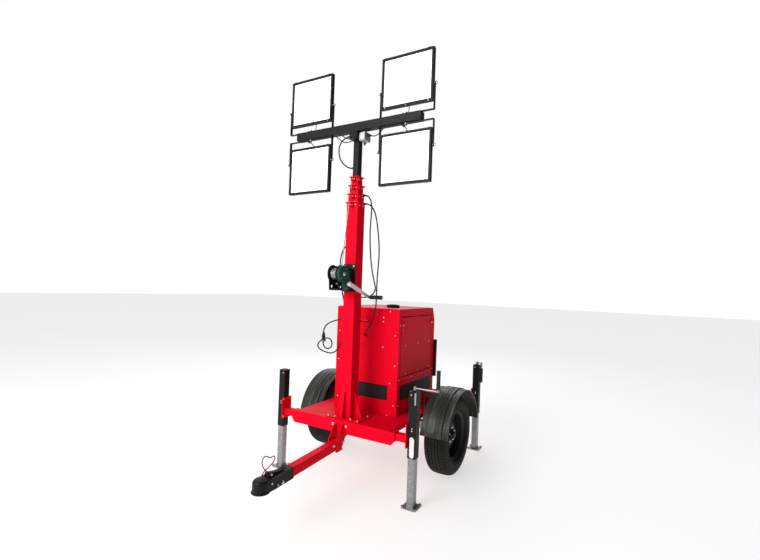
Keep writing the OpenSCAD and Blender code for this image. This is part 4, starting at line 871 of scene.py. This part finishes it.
def make_canopy_details():
    """Grilles, rivets, the rear bar, the cap's ribs and the doors' fixings."""
    front, rear, side_x = CANOPY_FRONT - 0.1, CANOPY_REAR + 0.1, CANOPY_HALF + 0.1
    vents = Shape()
    grille(vents, row(-206, front - 1.7, 595), row(206, front, 707), -Y)
    for s in (-1, 1):
        x0, x1 = sorted((s * side_x, s * (side_x + 1.7)))
        grille(vents, row(x0, 269, 595), row(x1, 844, 707), X * s)
    grille(vents, row(-206, rear, 595), row(206, rear + 1.7, 967), Y)
    vents.make("canopy_grilles", "frame", "black_plastic", slot="black_plastic")

    screws = Shape()
    for s in (-1, 1):
        for x, z in ((211, 1286), (153, 1236), (153, 1204), (263, 1101), (155, 1005), (267, 867), (226, 729),
                     (263, 560)):
            screws.rivet(row(s * x, front, z), -Y, 0.0062)
            screws.rivet(row(s * x, rear, z - 60 if z > 1200 else z), Y, 0.0062)
        for y in (460, 659):
            screws.rivet(row(s * HINGE_X, y, 757), X * s, 0.0058)
        for y in (245, 860):
            for z in (560, 1180, 760):
                screws.rivet(row(s * side_x, y, z), X * s, 0.0055)
    screws.make("canopy_rivets", "frame", "zinc", slot="galvanised_steel")

    bar = Shape()
    bar.box(row(284, 905, 690), row(311, 935, 1019), edge=0.002)
    for z in (716, 988):
        bar.box(row(258, 902, z - 9), row(300, 909, z + 9))
        bar.bolt(row(266.5, 909, z), Y, 0.0042, 1)
    bar.make("canopy_bar", "frame", "black_paint", "zinc", slot="black_paint")

    cap = Shape()
    at = row(97, 472, CANOPY_TOP)
    for k in range(18):
        a = math.tau * k / 18
        out = Vector((math.cos(a), math.sin(a), 0))
        cap.rod(at + out * 0.0518 + Z * 0.003, at + out * 0.0518 + Z * 0.020, 0.0026, 8)
    cap.turned(at, Z, [(0.050, 0.0218), (0.048, 0.0236), (0.030, 0.0238), (0.028, 0.0262), (0.010, 0.0272),
                       (0.001, 0.0273)], 40)
    cap.make("cap_ribs", "frame", "black_plastic", slot="black_plastic")

    for side, s in SIDES:
        door = Shape()
        for y, z in ((342, 1018), (567, 1020), (790, 1015)):
            door.rivet(row(s * side_x, y, z), X * s, 0.0058)
        for y in (348, 570, 795):
            door.rivet(row(s * HINGE_X, y, 794), X * s, 0.0058)
        # The latches' pins and screws
        for y, way in ((274, 1), (827, -1)):
            door.turned(row(s * 301.4, y + way * 10, 1182), X * s,
                        [(0.0062, 0), (0.0062, 0.0014), (0.0048, 0.0022)], 20)
            for z in (1140, 1180):
                door.rivet(row(s * 295.6, y + way * 5, z), X * s, 0.0032)
        # A folded edge round the door
        x0, x1 = sorted((s * 292.4, s * 293.4))
        for y0, y1, z0, z1 in ((267, 834, 784.6, 787.4), (267, 834, 1238.1, 1240.9),
                               (267.1, 269.9, 786, 1239.5), (831.1, 833.9, 786, 1239.5)):
            door.box(row(x0, y0, z0), row(x1, y1, z1), 1, edge=0.0003)
        door.make("door_fixings_" + side, "door_" + side, "zinc", "red_paint", slot="galvanised_steel")


# Frame

def make_frame_details():
    """Bolts of the clevis, coupler and mudguards, and the folded edges of the beams' ends."""
    bolts = Shape()
    for x in (-59, 59):
        bolts.bolt(row(x, -109.1, 447), -Y, 0.009)
    for y, z in ((-75, 335), (-92, 283), (-192, 335)):
        for s in (-1, 1):
            bolts.bolt(row(s * 37.3, y - 30, z), X * s, 0.0085)
    for s in (-1, 1):
        for y, z in ((-740, 262), (-781, 262), (-835, 290)):
            half = 36.3 if y > -800 else 40
            size = 0.0105 if y == -740 else 0.0075
            bolts.bolt(row(s * half, y, z + 5), X * s, size, 0)
        bolts.turned(row(s * 22.9, -823, 338), X * s, [(0.0078, 0), (0.0078, 0.0035), (0.0062, 0.005)], 6, smooth=False)
    bolts.make("frame_bolts", "frame", "zinc", slot="galvanised_steel")

    fender = Shape()
    for s in (-1, 1):
        for a in (-25, 25):
            angle = math.radians(a)
            for x in (540, 610):
                at = row(s * x, 626 - 361.2 * math.sin(angle), 310 + 361.2 * math.cos(angle))
                fender.bolt(at, Vector((0, -math.sin(angle), math.cos(angle))), 0.0062)
            fender.bolt(row(s * 426.2, 626 - 356 * math.sin(angle), 470), X * s, 0.006)
    fender.make("fender_bolts", "frame", "zinc", slot="galvanised_steel")

    ends = Shape()
    for y in (-73, 1257):
        for s in (-1, 1):
            x0, x1 = sorted((s * 456, s * 461.5))
            for z0, z1 in ((419, 424), (476, 481.2)):
                ends.box(row(x0, y - 30.4, z0), row(x1, y + 30.4, z1))
            for y0, y1 in ((y - 30.8, y - 25.6), (y + 25.6, y + 30.8)):
                ends.box(row(x0, y0, 419), row(x1, y1, 481))
    ends.make("beam_ends", "frame", "red_paint", slot="red_paint")


def soften(node):
    """Soft edges and smooth shading, by modifiers that leave the CAD mesh as it is."""
    node.data.polygons.foreach_set("use_smooth", [True] * len(node.data.polygons))
    weld = node.modifiers.new("weld", "WELD")
    weld.merge_threshold = 0.00001
    flat = node.modifiers.new("flat", "DECIMATE")
    flat.decimate_type = "DISSOLVE"
    flat.angle_limit = math.radians(0.4)
    bevel = node.modifiers.new("bevel", "BEVEL")
    bevel.width = 0.0011
    bevel.segments = 2
    bevel.limit_method = "ANGLE"
    bevel.angle_limit = math.radians(32)
    bevel.use_clamp_overlap = True
    even = node.modifiers.new("even", "WEIGHTED_NORMAL")
    even.mode = "FACE_AREA"
    even.weight = 90
    even.keep_sharp = True


def finish_nodes():
    """Each CAD node gets its slot's material, soft edges and smooth shading."""
    slots = {s["node"]: s["material_slot"] for s in frame["record"]["subparts"]}
    other = {"winch_rope": "rope", "engine": "engine_grey", "winch_crank": "bright_steel",
             "safety_loop": "loop_red", "fenders": "fender_plastic_painted_highlights"}
    for name, node in NODES.items():
        node.data.materials.clear()
        node.data.materials.append(MATERIALS[other.get(name, slots[name])])
        if not node.hide_render:
            soften(node)


# Stage

def make_stage():
    """A pale floor that fades into the background."""
    mesh = bpy.data.meshes.new("floor")
    size = 40
    mesh.from_pydata([(-size, -size, 0), (size, -size, 0), (size, size, 0), (-size, size, 0)], [], [(0, 1, 2, 3)])
    floor = bpy.data.objects.new("floor", mesh)
    floor.location.z = -0.0005
    bpy.context.scene.collection.objects.link(floor)
    n = Nodes("floor")
    tone = n.blend(n.spread(n.noise(0.8), 0, 1), (0.46, 0.46, 0.46), (0.48, 0.48, 0.48))
    mesh.materials.append(n.set(Base_Color=tone, Roughness=0.9, Specular_IOR_Level=0.0,
                                Emission_Color=(1, 1, 1), Emission_Strength=0.62))


def area_light(name, place, target, size, power):
    data = bpy.data.lights.new(name, "AREA")
    data.size = size
    data.energy = power
    light = bpy.data.objects.new(name, data)
    light.location = place
    light.rotation_mode = "QUATERNION"
    light.rotation_quaternion = (Vector(target) - Vector(place)).to_track_quat("-Z", "Y")
    bpy.context.scene.collection.objects.link(light)


def make_lights():
    """A soft front light from the left, a weaker one behind, and a studio that is darker to the right."""
    area_light("key", (-1.4, -6.6, 3.8), (0, 0, 1.2), 3.6, 380)
    area_light("back", (-2.5, 4.5, 4.5), (0, 0, 1.0), 3.0, 90)
    bpy.context.scene.view_settings.view_transform = "Standard"
    world = bpy.data.worlds.new("studio")
    bpy.context.scene.world = world
    world.use_nodes = True
    tree = world.node_tree
    background = tree.nodes["Background"]
    place = tree.nodes.new("ShaderNodeTexCoord")
    split = tree.nodes.new("ShaderNodeSeparateXYZ")
    tree.links.new(place.outputs["Generated"], split.inputs[0])
    ramp = tree.nodes.new("ShaderNodeMapRange")
    for key, value in (("From Min", -0.5), ("From Max", 0.5), ("To Min", 0.92), ("To Max", 0.04)):
        ramp.inputs[key].default_value = value
    tree.links.new(split.outputs["X"], ramp.inputs["Value"])
    seen = tree.nodes.new("ShaderNodeLightPath")
    mix = tree.nodes.new("ShaderNodeMix")
    mix.inputs["B"].default_value = 1.0
    tree.links.new(seen.outputs["Is Camera Ray"], mix.inputs["Factor"])
    tree.links.new(ramp.outputs["Result"], mix.inputs["A"])
    tree.links.new(mix.outputs["Result"], background.inputs["Strength"])
    background.inputs["Color"].default_value = (1, 1, 1, 1)


make_camera()
make_cords()
for wheel_side, wheel_sign in SIDES:
    make_tyre(wheel_side, wheel_sign)
    make_wheel_fixings(wheel_side, wheel_sign)
for lamp_name in LAMPS:
    make_lamp(lamp_name, 1 if lamp_name.endswith("right") else -1, 1 if lamp_name.startswith("upper") else -1)
make_head()
make_mast_fixings()
make_winch_fixings()
for jack_corner in CORNERS:
    make_jack(jack_corner)
make_canopy_details()
make_frame_details()
finish_nodes()
make_stage()
make_lights()
